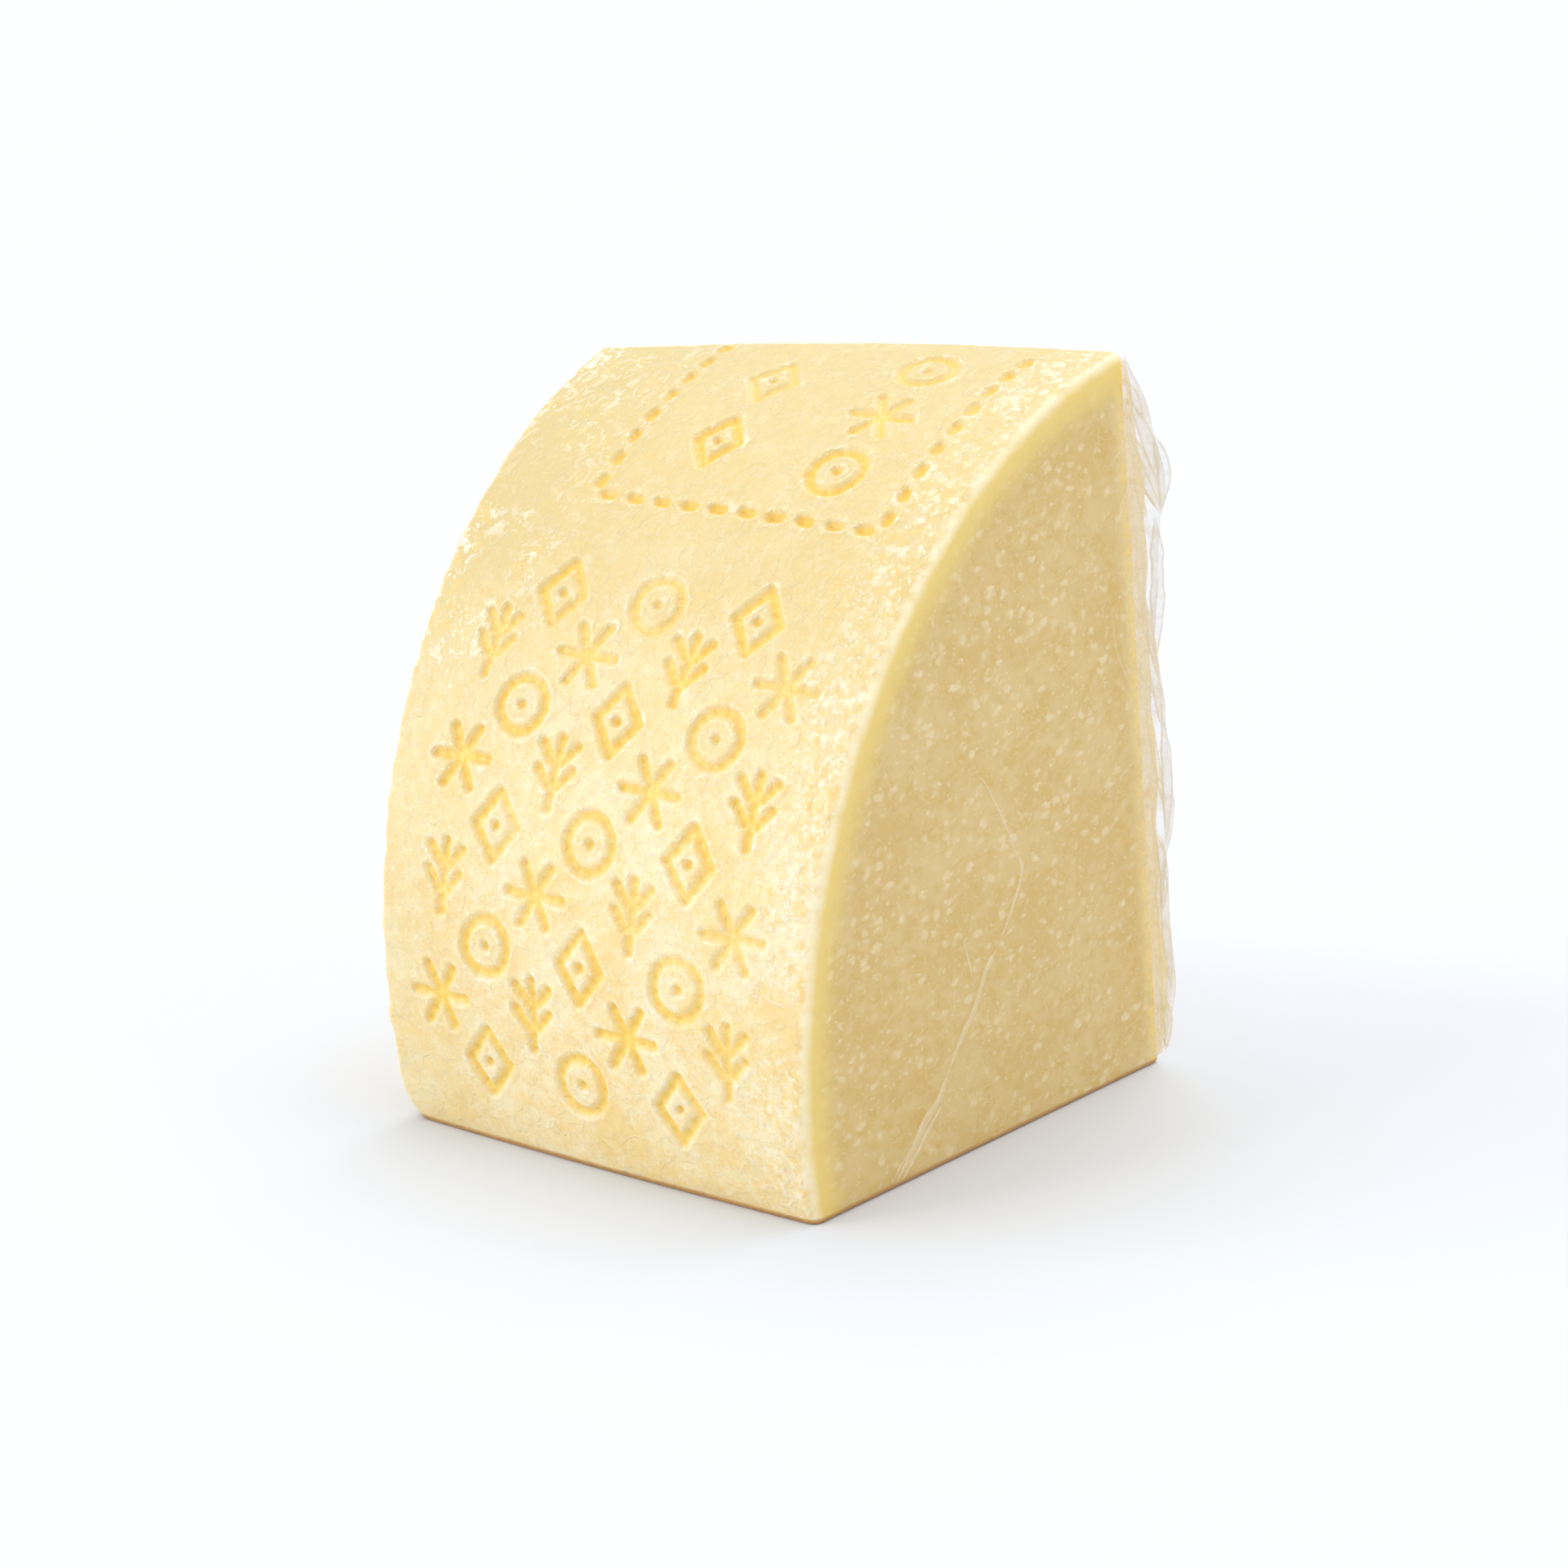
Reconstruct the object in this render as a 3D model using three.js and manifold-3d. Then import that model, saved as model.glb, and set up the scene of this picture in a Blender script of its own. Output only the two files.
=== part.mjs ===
// A wedge of hard sheep's milk cheese, standing on one of its cuts, with the clear film that is
// gathered over its back. Millimetres, +Z up, origin at the middle of the box round it, at the base.
// While it is built, X runs along the wheel's axis, with the flat side at x = 0 on the right and the
// narrower side to the left, and the rind bulges towards -Y.
import * as THREE from "three";
import { mergeVertices } from "three/addons/utils/BufferGeometryUtils.js";
import Module from "manifold-3d";

const degrees = Math.PI / 180;

// The wheel that the wedge was cut from, lying on its side
const wheelRadius = 150;
const axisHeight = 40.7; // of the wheel's axis over the cut that the wedge stands on
const crownX = -83; // where the rind bulges most
const barrelDrop = 2.85; // how much smaller the wheel is 100 mm away from the crown

// The four cuts: right side, left side, back and base
const rightLean = 1 * degrees;
const leftFootX = -125.7; // left side at the base, below the rind
const leftLean = -2.85 * degrees;
const leftTurn = -1.9 * degrees;
const backFootY = 4.3;
const backLean = 9.75 * degrees;
const backTurn = 10.84 * degrees;
const edgeRound = 2.6; // radius of the edges between the rind and the two sides
const backRound = 1.2; // of the edges of the back
const baseRound = 0.8; // of the edges of the base
const cornerWide = 6.5; // how much the left side is worn away at the base, below the rind
const cornerHigh = 12;
const cornerDeep = 60; // how far back that wear reaches

// Pin-pricked ornament in the rind. Places on the rind are [x, up]: x along the wheel's axis, and up
// the length of rind from the base.
const grooveRadius = 1.35; // half the width of a groove, and its depth
const motifPitch = 29; // between motifs in a row
const rowPitch = 14.5; // between rows, of which every other one is moved by half the pitch
const fieldCentre = [-64, 80];
const fieldRows = 4; // on either side of the middle row
const fieldHalf = 50; // half the width of the field
const rosetteRadius = 6.6;
const lozengeHalf = [6.2, 8.2];
const starHalf = 8;
const sprigHalf = 8.4;
const sprigLeaf = 5;
const frameLeft = -99;
const frameRight = -14.5;
const frameBottom = 166;
const frameTop = 238;
const dashRadius = 1.7;
const dashHalf = 1.1;
const dashesAcross = 10;
const dashesUp = 9;

// Film: its standoff from the corner of the cheese at each height, [height, standoff]
const filmStandoff = [
  [3, 2.5], [20, 6.2], [57, 4.5], [72, 6.7], [92, 4.5],
  [114, 3.5], [134, 6.3], [154, 9.8], [168, 6.4], [180, 2.2],
];
const filmGap = 0.45; // between film and cheese where it clings
const filmThick = 0.7;
const filmRightFlap = 16; // how far it shows on the right side
const filmLeftFlap = 7;
const filmRipple = 1.5; // depth of the folds over the back
const filmFolds = 9;
const filmFoldBend = 1.3; // how far the folds wander sideways, in folds
const filmCornerFade = 14; // how fast the standoff falls away along the back
const filmTopFall = 14; // how much lower its top is at the far corner
const filmSideSteps = 4;
const filmBackSteps = 22;

function rindRadius(x) {
  return wheelRadius - barrelDrop * ((x - crownX) / 100) ** 2;
}

function rightSide(z) {
  return z * Math.tan(rightLean);
}

function leftSide(y, z) {
  const flat = leftFootX + (y + wheelRadius) * Math.tan(leftTurn) + z * Math.tan(leftLean);
  const below = Math.max(0, 1 - z / cornerHigh);
  const forward = 1 - THREE.MathUtils.smoothstep(y + wheelRadius, 0, cornerDeep);
  return flat + cornerWide * (1 - Math.sqrt(1 - below ** 2)) * forward;
}

// Where the back cut meets the base, for the slice of the wedge at x
function backFoot(x) {
  return backFootY + x * Math.tan(backTurn);
}

// The slice's outline in (y, z), from the front foot over the rind and down the back: six curves.
// shrink runs from 0 to 1 in the rounding into the two sides, and draws it in by up to the roundings'
// radii.
function outline(x, shrink) {
  const rind = rindRadius(x) - edgeRound * shrink;
  const low = baseRound * (1 + shrink);
  const cos = Math.cos(backLean);
  const sin = Math.sin(backLean);
  const toBack = backFoot(x) * cos - backRound * shrink; // from the origin to the line of the back
  const footReach = rind - baseRound;
  const topReach = rind - backRound;
  const foot = new THREE.Vector2(-Math.sqrt(footReach ** 2 - (low - axisHeight) ** 2), low);
  const footTurn = Math.PI + Math.atan2(axisHeight - low, -foot.x);
  const topTurn = backLean + Math.acos((toBack - backRound - axisHeight * sin) / topReach);
  const top = new THREE.Vector2(topReach, 0).rotateAround(new THREE.Vector2(), topTurn);
  top.y += axisHeight;
  const heel = new THREE.Vector2((toBack - baseRound - low * sin) / cos, low);
  const back = new THREE.Vector2(cos, sin);
  const down = new THREE.Vector2(0, -baseRound);
  const round = (centre, radius, from, to) =>
    new THREE.EllipseCurve(centre.x, centre.y, radius, radius, from, to, true);
  const backTop = top.clone().addScaledVector(back, backRound);
  const backFootEnd = heel.clone().addScaledVector(back, baseRound);
  return [
    round(foot, baseRound, 1.5 * Math.PI, footTurn),
    new THREE.EllipseCurve(0, axisHeight, rind, rind, footTurn, topTurn, true),
    round(top, backRound, topTurn, backLean),
    new THREE.LineCurve(backTop, backFootEnd),
    round(heel, baseRound, backLean, -0.5 * Math.PI),
    new THREE.LineCurve(heel.clone().add(down), foot.clone().add(down)),
  ];
}

// Radii of the roundings into the two sides, where each curve of the outline starts and the last ends
const sideRounds = [edgeRound, edgeRound, edgeRound, backRound, backRound, backRound, edgeRound];

// A point of the wedge's skin: curve and part name a place on the outline, and across runs from 0 at
// the left side to 1 at the right. Near a side, turn goes from 0 at the cut to 1 on the outline.
function skinPoint(curve, part, across, turn) {
  const shrink = 1 - Math.sin(turn * 0.5 * Math.PI);
  const radius = THREE.MathUtils.lerp(sideRounds[curve], sideRounds[curve + 1], part);
  const inward = radius * (1 - Math.cos(turn * 0.5 * Math.PI));
  let x = leftFootX * (1 - across);
  const place = new THREE.Vector2();
  for (let pass = 0; pass < 4; pass++) {
    outline(x, shrink)[curve].getPoint(part, place);
    const left = leftSide(place.x, place.y) + inward;
    const right = rightSide(place.y) - inward;
    x = left + (right - left) * across;
  }
  return new THREE.Vector3(x, place.x, place.y);
}

// A closed body through rings of points, each ring closed and with an even number of points. Its two
// ends are flat, or thin strips.
function loft(rings) {
  const count = rings[0].length;
  const faces = [];
  for (let row = 0; row + 1 < rings.length; row++) {
    for (let k = 0; k < count; k++) {
      const a = row * count + k;
      const b = row * count + ((k + 1) % count);
      faces.push(a, b, b + count, a, b + count, a + count);
    }
  }
  const last = (rings.length - 1) * count;
  for (let k = 0; k < count / 2 - 1; k++) {
    const a = k;
    const b = k + 1;
    const c = count - 2 - k;
    const d = count - 1 - k;
    faces.push(a, c, b, a, d, c);
    faces.push(last + a, last + b, last + c, last + a, last + c, last + d);
  }
  const geometry = new THREE.BufferGeometry().setFromPoints(rings.flat());
  geometry.setIndex(faces);
  return geometry;
}

function wedgeBody() {
  const steps = [3, 26, 3, 6, 3, 5]; // along each curve of the outline
  const roundSteps = 3;
  const acrossSteps = 6;
  const stations = [];
  for (let k = 0; k < roundSteps; k++) {
    stations.push([1, k / roundSteps]);
  }
  for (let k = acrossSteps; k >= 0; k--) {
    stations.push([k / acrossSteps, 1]);
  }
  for (let k = roundSteps - 1; k >= 0; k--) {
    stations.push([0, k / roundSteps]);
  }
  const rings = stations.map(([across, turn]) =>
    steps.flatMap((count, curve) =>
      Array.from({ length: count }, (_, k) => skinPoint(curve, k / count, across, turn))
    )
  );
  return loft(rings);
}

// The place on the rind at [x, up], and a frame there: its Z axis points out of the rind, its X axis
// along the wheel's axis, and its Y axis up the rind.
function rindPlace([x, up]) {
  const angle = Math.PI + Math.asin(axisHeight / wheelRadius) - up / wheelRadius;
  const outward = new THREE.Vector3(0, Math.cos(angle), Math.sin(angle));
  const along = new THREE.Vector3(1, 0, 0);
  const upward = new THREE.Vector3().crossVectors(outward, along);
  const frame = new THREE.Matrix4().makeBasis(along, upward, outward);
  return frame.setPosition(new THREE.Vector3(x, 0, axisHeight).addScaledVector(outward, rindRadius(x)));
}

// Cutters, each a closed geometry about the rind's surface at z = 0
function strokeCutter(from, to, radius) {
  const start = new THREE.Vector2(...from);
  const run = new THREE.Vector2(...to).sub(start);
  const cutter = new THREE.CapsuleGeometry(radius, run.length(), 1, 4);
  cutter.rotateZ(run.angle() - 0.5 * Math.PI);
  return cutter.translate(start.x + run.x / 2, start.y + run.y / 2, 0);
}

function rosette() {
  const ring = new THREE.TorusGeometry(rosetteRadius, grooveRadius, 4, 12);
  return [ring, new THREE.OctahedronGeometry(grooveRadius)];
}

function lozenge() {
  const [wide, high] = lozengeHalf;
  const corners = [[wide, 0], [0, high], [-wide, 0], [0, -high]];
  const sides = corners.map((corner, k) => strokeCutter(corner, corners[(k + 1) % 4], grooveRadius));
  return [...sides, new THREE.OctahedronGeometry(grooveRadius)];
}

function star() {
  return [0, 1, 2].map((k) => {
    const spoke = new THREE.Vector2(starHalf, 0).rotateAround(new THREE.Vector2(), (k * Math.PI) / 3);
    return strokeCutter([-spoke.x, -spoke.y], spoke.toArray(), grooveRadius);
  });
}

function sprig() {
  const stem = strokeCutter([0, -sprigHalf], [0, sprigHalf], grooveRadius);
  const leaves = [-0.35, 0.35].flatMap((part) =>
    [-1, 1].map((side) => {
      const root = [side * 1.2 * grooveRadius, part * sprigHalf];
      return strokeCutter(root, [side * sprigLeaf, root[1] + sprigLeaf * 0.8], grooveRadius);
    })
  );
  return [stem, ...leaves];
}

// Every motif of the field below the frame: [place, motif]
function fieldMotifs() {
  const kinds = [rosette, star, lozenge, sprig];
  const motifs = [];
  for (let row = -fieldRows; row <= fieldRows; row++) {
    const shift = Math.abs(row % 2) / 2;
    const across = Math.floor(fieldHalf / motifPitch - shift);
    for (let k = -across - 2 * shift; k <= across; k++) {
      const place = [fieldCentre[0] + (k + shift) * motifPitch, fieldCentre[1] + row * rowPitch];
      motifs.push([place, kinds[THREE.MathUtils.euclideanModulo(row + 2 * k, kinds.length)]]);
    }
  }
  return motifs;
}

// Small motifs inside the frame
function frameMotifs() {
  return [
    [[-74, 212], lozenge],
    [[-74, 187], lozenge],
    [[-36, 224], rosette],
    [[-36, 203], star],
    [[-36, 182], rosette],
  ];
}

// The dashes of the frame, which the back cut leaves open at its top
function frameDashes() {
  const dashes = [];
  for (let k = 0; k < dashesAcross; k++) {
    const x = frameLeft + ((k + 0.5) * (frameRight - frameLeft)) / dashesAcross;
    dashes.push([[x - dashHalf, frameBottom], [x + dashHalf, frameBottom]]);
  }
  for (let k = 0; k < dashesUp; k++) {
    const up = frameBottom + ((k + 0.5) * (frameTop - frameBottom)) / dashesUp;
    for (const x of [frameLeft, frameRight]) {
      dashes.push([[x, up - dashHalf], [x, up + dashHalf]]);
    }
  }
  return dashes.map(([from, to]) => {
    const middle = [(from[0] + to[0]) / 2, (from[1] + to[1]) / 2];
    const half = [to[0] - middle[0], to[1] - middle[1]];
    return strokeCutter([-half[0], -half[1]], half, dashRadius).applyMatrix4(rindPlace(middle));
  });
}

function toSolid(wasm, geometry) {
  const bare = geometry.clone();
  bare.deleteAttribute("normal");
  bare.deleteAttribute("uv");
  const merged = mergeVertices(bare, 1e-4);
  const vertProperties = new Float32Array(merged.attributes.position.array);
  const triVerts = new Uint32Array(merged.index.array);
  return new wasm.Manifold(new wasm.Mesh({ numProp: 3, vertProperties, triVerts }));
}

function toGeometry(solid) {
  const mesh = solid.getMesh();
  const geometry = new THREE.BufferGeometry();
  geometry.setAttribute("position", new THREE.BufferAttribute(mesh.vertProperties, 3));
  geometry.setIndex(new THREE.BufferAttribute(mesh.triVerts, 1));
  return geometry;
}

async function wedge() {
  const wasm = await Module();
  wasm.setup();
  const placed = [...fieldMotifs(), ...frameMotifs()].flatMap(([place, motif]) =>
    motif().map((cutter) => cutter.applyMatrix4(rindPlace(place)))
  );
  const cutters = [...placed, ...frameDashes()].map((cutter) => toSolid(wasm, cutter));
  const pricked = cutters.reduce((joined, cutter) => joined.add(cutter));
  return toGeometry(toSolid(wasm, wedgeBody()).subtract(pricked));
}

// A step of the film's path at height z: along the right side, round the corner, along the back, round
// the far corner and a little along the left side. Returns [x, y, angle of the outward normal].
function filmStep(k, z) {
  const slope = Math.tan(backLean) * z;
  const right = rightSide(z);
  const left = leftSide(-slope, z);
  const rightCorner = new THREE.Vector2(right, backFoot(right) - slope);
  const leftCorner = new THREE.Vector2(left, backFoot(left) - slope);
  const backAngle = 0.5 * Math.PI + backTurn;
  const onBack = k - filmSideSteps - 1;
  if (k < filmSideSteps) {
    const before = filmRightFlap + ((backRound - filmRightFlap) * k) / (filmSideSteps - 1);
    return [right, rightCorner.y - before, 0];
  }
  if (onBack === -1) {
    return [...rightCorner.toArray(), backAngle / 2];
  }
  if (onBack <= filmBackSteps) {
    const turned = backRound / rightCorner.distanceTo(leftCorner);
    const place = rightCorner.lerp(leftCorner, turned + ((1 - 2 * turned) * onBack) / filmBackSteps);
    return [...place.toArray(), backAngle];
  }
  if (onBack === filmBackSteps + 1) {
    return [...leftCorner.toArray(), (backAngle + Math.PI) / 2];
  }
  return [left, leftCorner.y - filmLeftFlap, Math.PI];
}

// A thin wavy sheet that stands off the corner and lies in shallow folds over the back
function film() {
  const rows = 20;
  const edge = new THREE.SplineCurve(filmStandoff.map(([z, standoff]) => new THREE.Vector2(z, standoff)));
  const bottom = filmStandoff[0][0];
  const top = filmStandoff[filmStandoff.length - 1][0];
  const rings = [];
  for (let row = 0; row <= rows; row++) {
    const { x: height, y: corner } = edge.getPoint(row / rows);
    const wander = filmFoldBend * Math.sin((4 * row) / rows);
    const steps = Array.from({ length: filmSideSteps + filmBackSteps + 4 }, (_, k) => {
      const away = filmStep(k, height)[0] / filmStep(filmSideSteps + filmBackSteps + 3, height)[0];
      const drop = filmTopFall * Math.max(0, away) * ((height - bottom) / (top - bottom));
      const fold = 0.5 + 0.5 * Math.sin(2 * Math.PI * (filmFolds * away + wander));
      const depth = filmRipple * fold * THREE.MathUtils.clamp(filmFolds * Math.min(away, 1 - away), 0, 1);
      const onSide = Math.min(1, k / filmSideSteps) ** 3;
      const standoff = filmGap + onSide * (corner * Math.exp(-filmCornerFade * away) + depth);
      return [filmStep(k, height - drop), height - drop, standoff];
    });
    const face = (thick) =>
      steps.map(([[x, y, angle], z, standoff]) => {
        const out = standoff + thick;
        return new THREE.Vector3(x + out * Math.cos(angle), y + out * Math.sin(angle), z);
      });
    rings.push([...face(filmThick), ...face(0).reverse()]);
  }
  return loft(rings);
}

const cheese = new THREE.Mesh(
  await wedge(),
  new THREE.MeshStandardMaterial({ color: 0xe9d9a8, roughness: 0.5, metalness: 0 })
);
cheese.name = "cheese_wedge";

const wrap = new THREE.Mesh(
  film(),
  new THREE.MeshStandardMaterial({
    color: 0xf4f1e6, roughness: 0.12, metalness: 0, transparent: true, opacity: 0.35,
  })
);
wrap.name = "film_wrap";

const part = new THREE.Group();
part.add(cheese, wrap);
const box = new THREE.Box3().setFromObject(part);
part.position.set(-(box.min.x + box.max.x) / 2, -(box.min.y + box.max.y) / 2, -box.min.z);

export default part;
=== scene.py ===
"""A wedge of hard sheep's milk cheese in clear film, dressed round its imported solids.

Lengths are in metres. The wedge is worked out in the wheel's own coordinates: X along the wheel's axis,
with the flat side at x = 0 on the right, the rind towards -Y, and Z up from the cut that the wedge
stands on. wheel_to_frame() gives the shift to the frame's coordinates. A place on the rind is (x, up),
where up is the length of rind from the base. A place on the film beside the right back corner is
(away, high): away is the distance from that corner, negative on the right side, and high the height.
"""

import bpy
import numpy as np
from bpy.props import FloatProperty, FloatVectorProperty, PointerProperty
from bpy.types import Operator, Panel, PropertyGroup
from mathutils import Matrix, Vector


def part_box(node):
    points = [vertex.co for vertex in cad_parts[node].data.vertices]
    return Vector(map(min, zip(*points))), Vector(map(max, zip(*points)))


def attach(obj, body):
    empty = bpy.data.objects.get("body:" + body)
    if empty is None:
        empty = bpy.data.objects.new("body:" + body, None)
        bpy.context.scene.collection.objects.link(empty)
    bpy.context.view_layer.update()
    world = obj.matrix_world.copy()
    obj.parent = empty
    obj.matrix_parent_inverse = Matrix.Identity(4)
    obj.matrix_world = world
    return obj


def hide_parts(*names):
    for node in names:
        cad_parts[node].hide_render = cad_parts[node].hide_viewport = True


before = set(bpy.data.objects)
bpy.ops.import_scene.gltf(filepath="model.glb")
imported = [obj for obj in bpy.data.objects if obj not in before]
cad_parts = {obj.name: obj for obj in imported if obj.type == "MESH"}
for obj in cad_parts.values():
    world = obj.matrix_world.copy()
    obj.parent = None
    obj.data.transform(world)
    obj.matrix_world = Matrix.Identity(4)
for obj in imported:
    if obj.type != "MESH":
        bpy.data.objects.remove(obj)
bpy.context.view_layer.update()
cheese_box = np.array(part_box("cheese_wedge"))
film_box = np.array(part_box("film_wrap"))

bl_info = {
    "name": "Cheese Wedge in Film",
    "version": (1, 0, 0),
    "blender": (4, 5, 0),
    "location": "View3D > Sidebar > Cheese",
    "description": "Makes a wedge of hard cheese with a pin-pricked rind, wrapped in clear film",
    "category": "Add Mesh",
}

MM = 0.001
FULL_TURN = 2 * np.pi


def length(name, description, metres):
    """A length that a user may change."""
    return FloatProperty(name=name, description=description, default=metres, unit="LENGTH", precision=4)


def angle(name, description, degrees):
    """An angle that a user may change."""
    return FloatProperty(name=name, description=description, default=np.radians(degrees), subtype="ANGLE")


def share(name, description, part):
    """A share of light that a user may change: 1 alone shows a white surface as full white."""
    return FloatProperty(name=name, description=description, default=part, min=0)


def colour(name, description, red, green, blue):
    """A colour that a user may change, given as 8-bit sRGB values."""
    parts = np.array([red, green, blue]) / 255
    linear = np.where(parts > 0.04045, ((parts + 0.055) / 1.055) ** 2.4, parts / 12.92)
    return FloatVectorProperty(
        name=name, description=description, default=tuple(linear), subtype="COLOR", size=3, min=0, max=1
    )


class WedgeSizes(PropertyGroup):
    """The wheel and the cuts."""

    wheel_radius: length("Wheel radius", "Radius of the wheel at its crown", 0.150)
    axis_height: length("Axis height", "Height of the wheel's axis over the base", 0.0407)
    crown_x: length("Crown", "Where the rind bulges most", -0.083)
    barrel_drop: length("Barrel", "How much smaller the wheel is 100 mm from its crown", 0.00285)
    right_lean: angle("Right lean", "Lean of the right side", 1)
    left_foot_x: length("Left side", "Left side at the base, below the rind", -0.1257)
    left_lean: angle("Left lean", "Lean of the left side", -2.85)
    left_turn: angle("Left turn", "Turn of the left side in plan", -1.9)
    back_foot_y: length("Back", "Back cut at the base, on the right", 0.0043)
    back_lean: angle("Back lean", "Forward lean of the back cut", 9.75)
    back_turn: angle("Back turn", "Turn of the back cut in plan", 10.84)
    edge_round: length("Edge rounding", "Radius of the edges between rind and sides", 0.0026)
    back_round: length("Back rounding", "Radius of the edges of the back", 0.0012)
    base_round: length("Base rounding", "Radius of the edges round the base", 0.0008)
    corner_wide: length("Worn corner", "How much the left side is worn away at its front foot", 0.0065)
    corner_high: length("Worn height", "Height of the worn corner", 0.012)
    corner_deep: length("Worn depth", "How far back the worn corner reaches", 0.060)


class OrnamentSizes(PropertyGroup):
    """The pin-pricked ornament in the rind."""

    groove_radius: length("Groove", "Half the width of a groove", 0.00135)
    groove_depth: length("Groove depth", "Depth between the pricks", 0.0010)
    prick_depth: length("Prick depth", "Depth of each prick", 0.00125)
    prick_pitch: length("Prick pitch", "Distance between pricks", 0.0031)
    field_x: length("Field across", "Middle of the field of motifs, along the wheel's axis", -0.064)
    field_up: length("Field up", "Middle of the field of motifs, up the rind", 0.080)
    field_half: length("Field width", "Half the width of the field", 0.050)
    motif_pitch: length("Motif pitch", "Distance between motifs in a row", 0.029)
    row_pitch: length("Row pitch", "Distance between rows", 0.0145)
    rosette_radius: length("Rosette", "Radius of a rosette", 0.0066)
    lozenge_wide: length("Lozenge width", "Half the width of a lozenge", 0.0062)
    lozenge_high: length("Lozenge height", "Half the height of a lozenge", 0.0082)
    star_half: length("Star", "Half the length of a star's spokes", 0.008)
    sprig_half: length("Sprig", "Half the length of a sprig", 0.0084)
    sprig_leaf: length("Sprig leaf", "Reach of a sprig's leaves", 0.005)
    frame_left: length("Frame left", "Left line of the dotted frame", -0.099)
    frame_right: length("Frame right", "Right line of the dotted frame", -0.0145)
    frame_bottom: length("Frame bottom", "Lower line of the dotted frame, up the rind", 0.166)
    frame_top: length("Frame top", "Open end of the dotted frame, up the rind", 0.238)
    dash_radius: length("Dash", "Half the width of a dash of the frame", 0.0017)
    dash_half: length("Dash length", "Half the straight length of a dash", 0.0011)
    lip_height: length("Lip", "Height of the lip round a groove", 0.00022)


class FilmSizes(PropertyGroup):
    """The clear film."""

    gap: length("Gap", "Between film and cheese where it clings", 0.00045)
    thickness: length("Thickness", "Thickness of the film's folds", 0.00012)
    right_flap: length("Right flap", "How far the gathered film reaches on the right side", 0.016)
    left_flap: length("Left flap", "How far the gathered film reaches on the left side", 0.007)
    top_rise: length("Top rise", "How far the ragged top reaches over the packed film", 0.0055)
    top_fall: length("Top fall", "How much lower the film's top is at the far corner", 0.014)


class FinishColours(PropertyGroup):
    """Colours of the cheese and the film."""

    rind_pale: colour("Rind, pale", "Pale cream of the rind", 242, 229, 190)
    rind_warm: colour("Rind, warm", "Warmer cream patches of the rind", 240, 213, 147)
    # Painted shade: a darker cream for the rind high up and near the left side, offsetting the stronger
    # light there
    rind_shaded: colour("Rind, high", "The rind towards its upper end", 215, 195, 134)
    amber: colour("Amber", "Worn spots of the rind, and between its white flecks", 236, 203, 124)
    # Partly the pricks' own gold and partly painted shade in their hollows
    prick: colour("Pricks", "Deepest part of a prick", 252, 209, 80)
    # Partly the rind's real white flecks and partly painted glints and sheen of the clinging film
    wax_and_glints: colour("Wax", "Whitest flecks and smears of the rind", 250, 245, 230)
    # Partly the cream of the rounded edge and partly a painted highlight along it
    rim: colour("Rim", "Rounded edge between the rind and a cut", 250, 240, 208)
    band: colour("Under the rind", "Yellow band under the rind on a cut", 234, 206, 117)
    paste: colour("Paste", "Cut face of the cheese", 219, 192, 130)
    paste_deep: colour("Paste, deep", "Darker parts of the cut face", 213, 180, 105)
    grain: colour("Grains", "Pale grains in the cut face", 232, 216, 174)
    speck: colour("Specks", "Small orange specks in the cut face", 206, 158, 88)
    # Painted shade: the golden brown line stands in for the shade where the cheese meets the floor
    foot: colour("Foot", "Golden brown line along the base", 186, 132, 54)
    film_cool: colour("Film", "Haze of the film away from the cheese", 222, 208, 184)
    # Painted reflection: the cheese's yellow as seen in and through the film, given to its haze
    film_tinted_by_cheese: colour("Film, warm", "Haze of the film close to the cheese", 240, 214, 152)


class StageSettings(PropertyGroup):
    """Camera, floor and light."""

    lens: FloatProperty(name="Lens", description="Focal length on a 36 mm sensor", default=75.8)
    camera_pitch: angle("Camera pitch", "How far the camera looks down", 13.79)
    camera_yaw: angle("Camera yaw", "How far the camera is turned to the left", 37.65)
    camera_place: FloatVectorProperty(
        name="Camera", description="Place in the wheel's coordinates", default=(0.41916, -0.69788, 0.27315),
        unit="LENGTH",
    )
    floor_colour: colour("Floor", "Plain pale floor", 222, 226, 233)
    floor_half: length("Floor size", "Half the floor's width", 60)
    sky: share("Sky", "Brightness of the light from all round", 0.88)
    key: share("Key", "Light that the low light on the left adds to a surface that faces it", 0.35)
    back: share("Back", "Light that the high light behind adds", 0.34)
    glint: share("Glint", "Light that the small light in front adds", 0.06)
    side: share("Side", "Light that the low light on the right adds", 0.06)


# Geometry of the wedge


def step(value, low, high):
    """0 below low, 1 above high and a smooth step between them."""
    part = np.clip((value - low) / (high - low), 0, 1)
    return part * part * (3 - 2 * part)


def rind_radius(wedge, x):
    """Radius of the wheel at x: it falls with the square of the distance from the crown."""
    return wedge.wheel_radius - wedge.barrel_drop * ((x - wedge.crown_x) / 0.1) ** 2


def right_side(wedge, z):
    """x of the right side at height z: a plane with a slight lean."""
    return z * np.tan(wedge.right_lean)


def left_side(wedge, y, z):
    """x of the left side at (y, z): a plane with a lean and a turn, worn away at its front foot.

    The wear follows a quarter circle up to its height, and fades towards the back by a smooth step.
    """
    turned = (y + wedge.wheel_radius) * np.tan(wedge.left_turn)
    below = np.clip(1 - z / wedge.corner_high, 0, 1)
    forward = 1 - step(y + wedge.wheel_radius, 0, wedge.corner_deep)
    worn = wedge.corner_wide * (1 - np.sqrt(1 - below**2)) * forward
    return wedge.left_foot_x + turned + z * np.tan(wedge.left_lean) + worn


def back_foot(wedge, x):
    """y of the back cut at the base, in the slice at x."""
    return wedge.back_foot_y + x * np.tan(wedge.back_turn)


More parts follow.
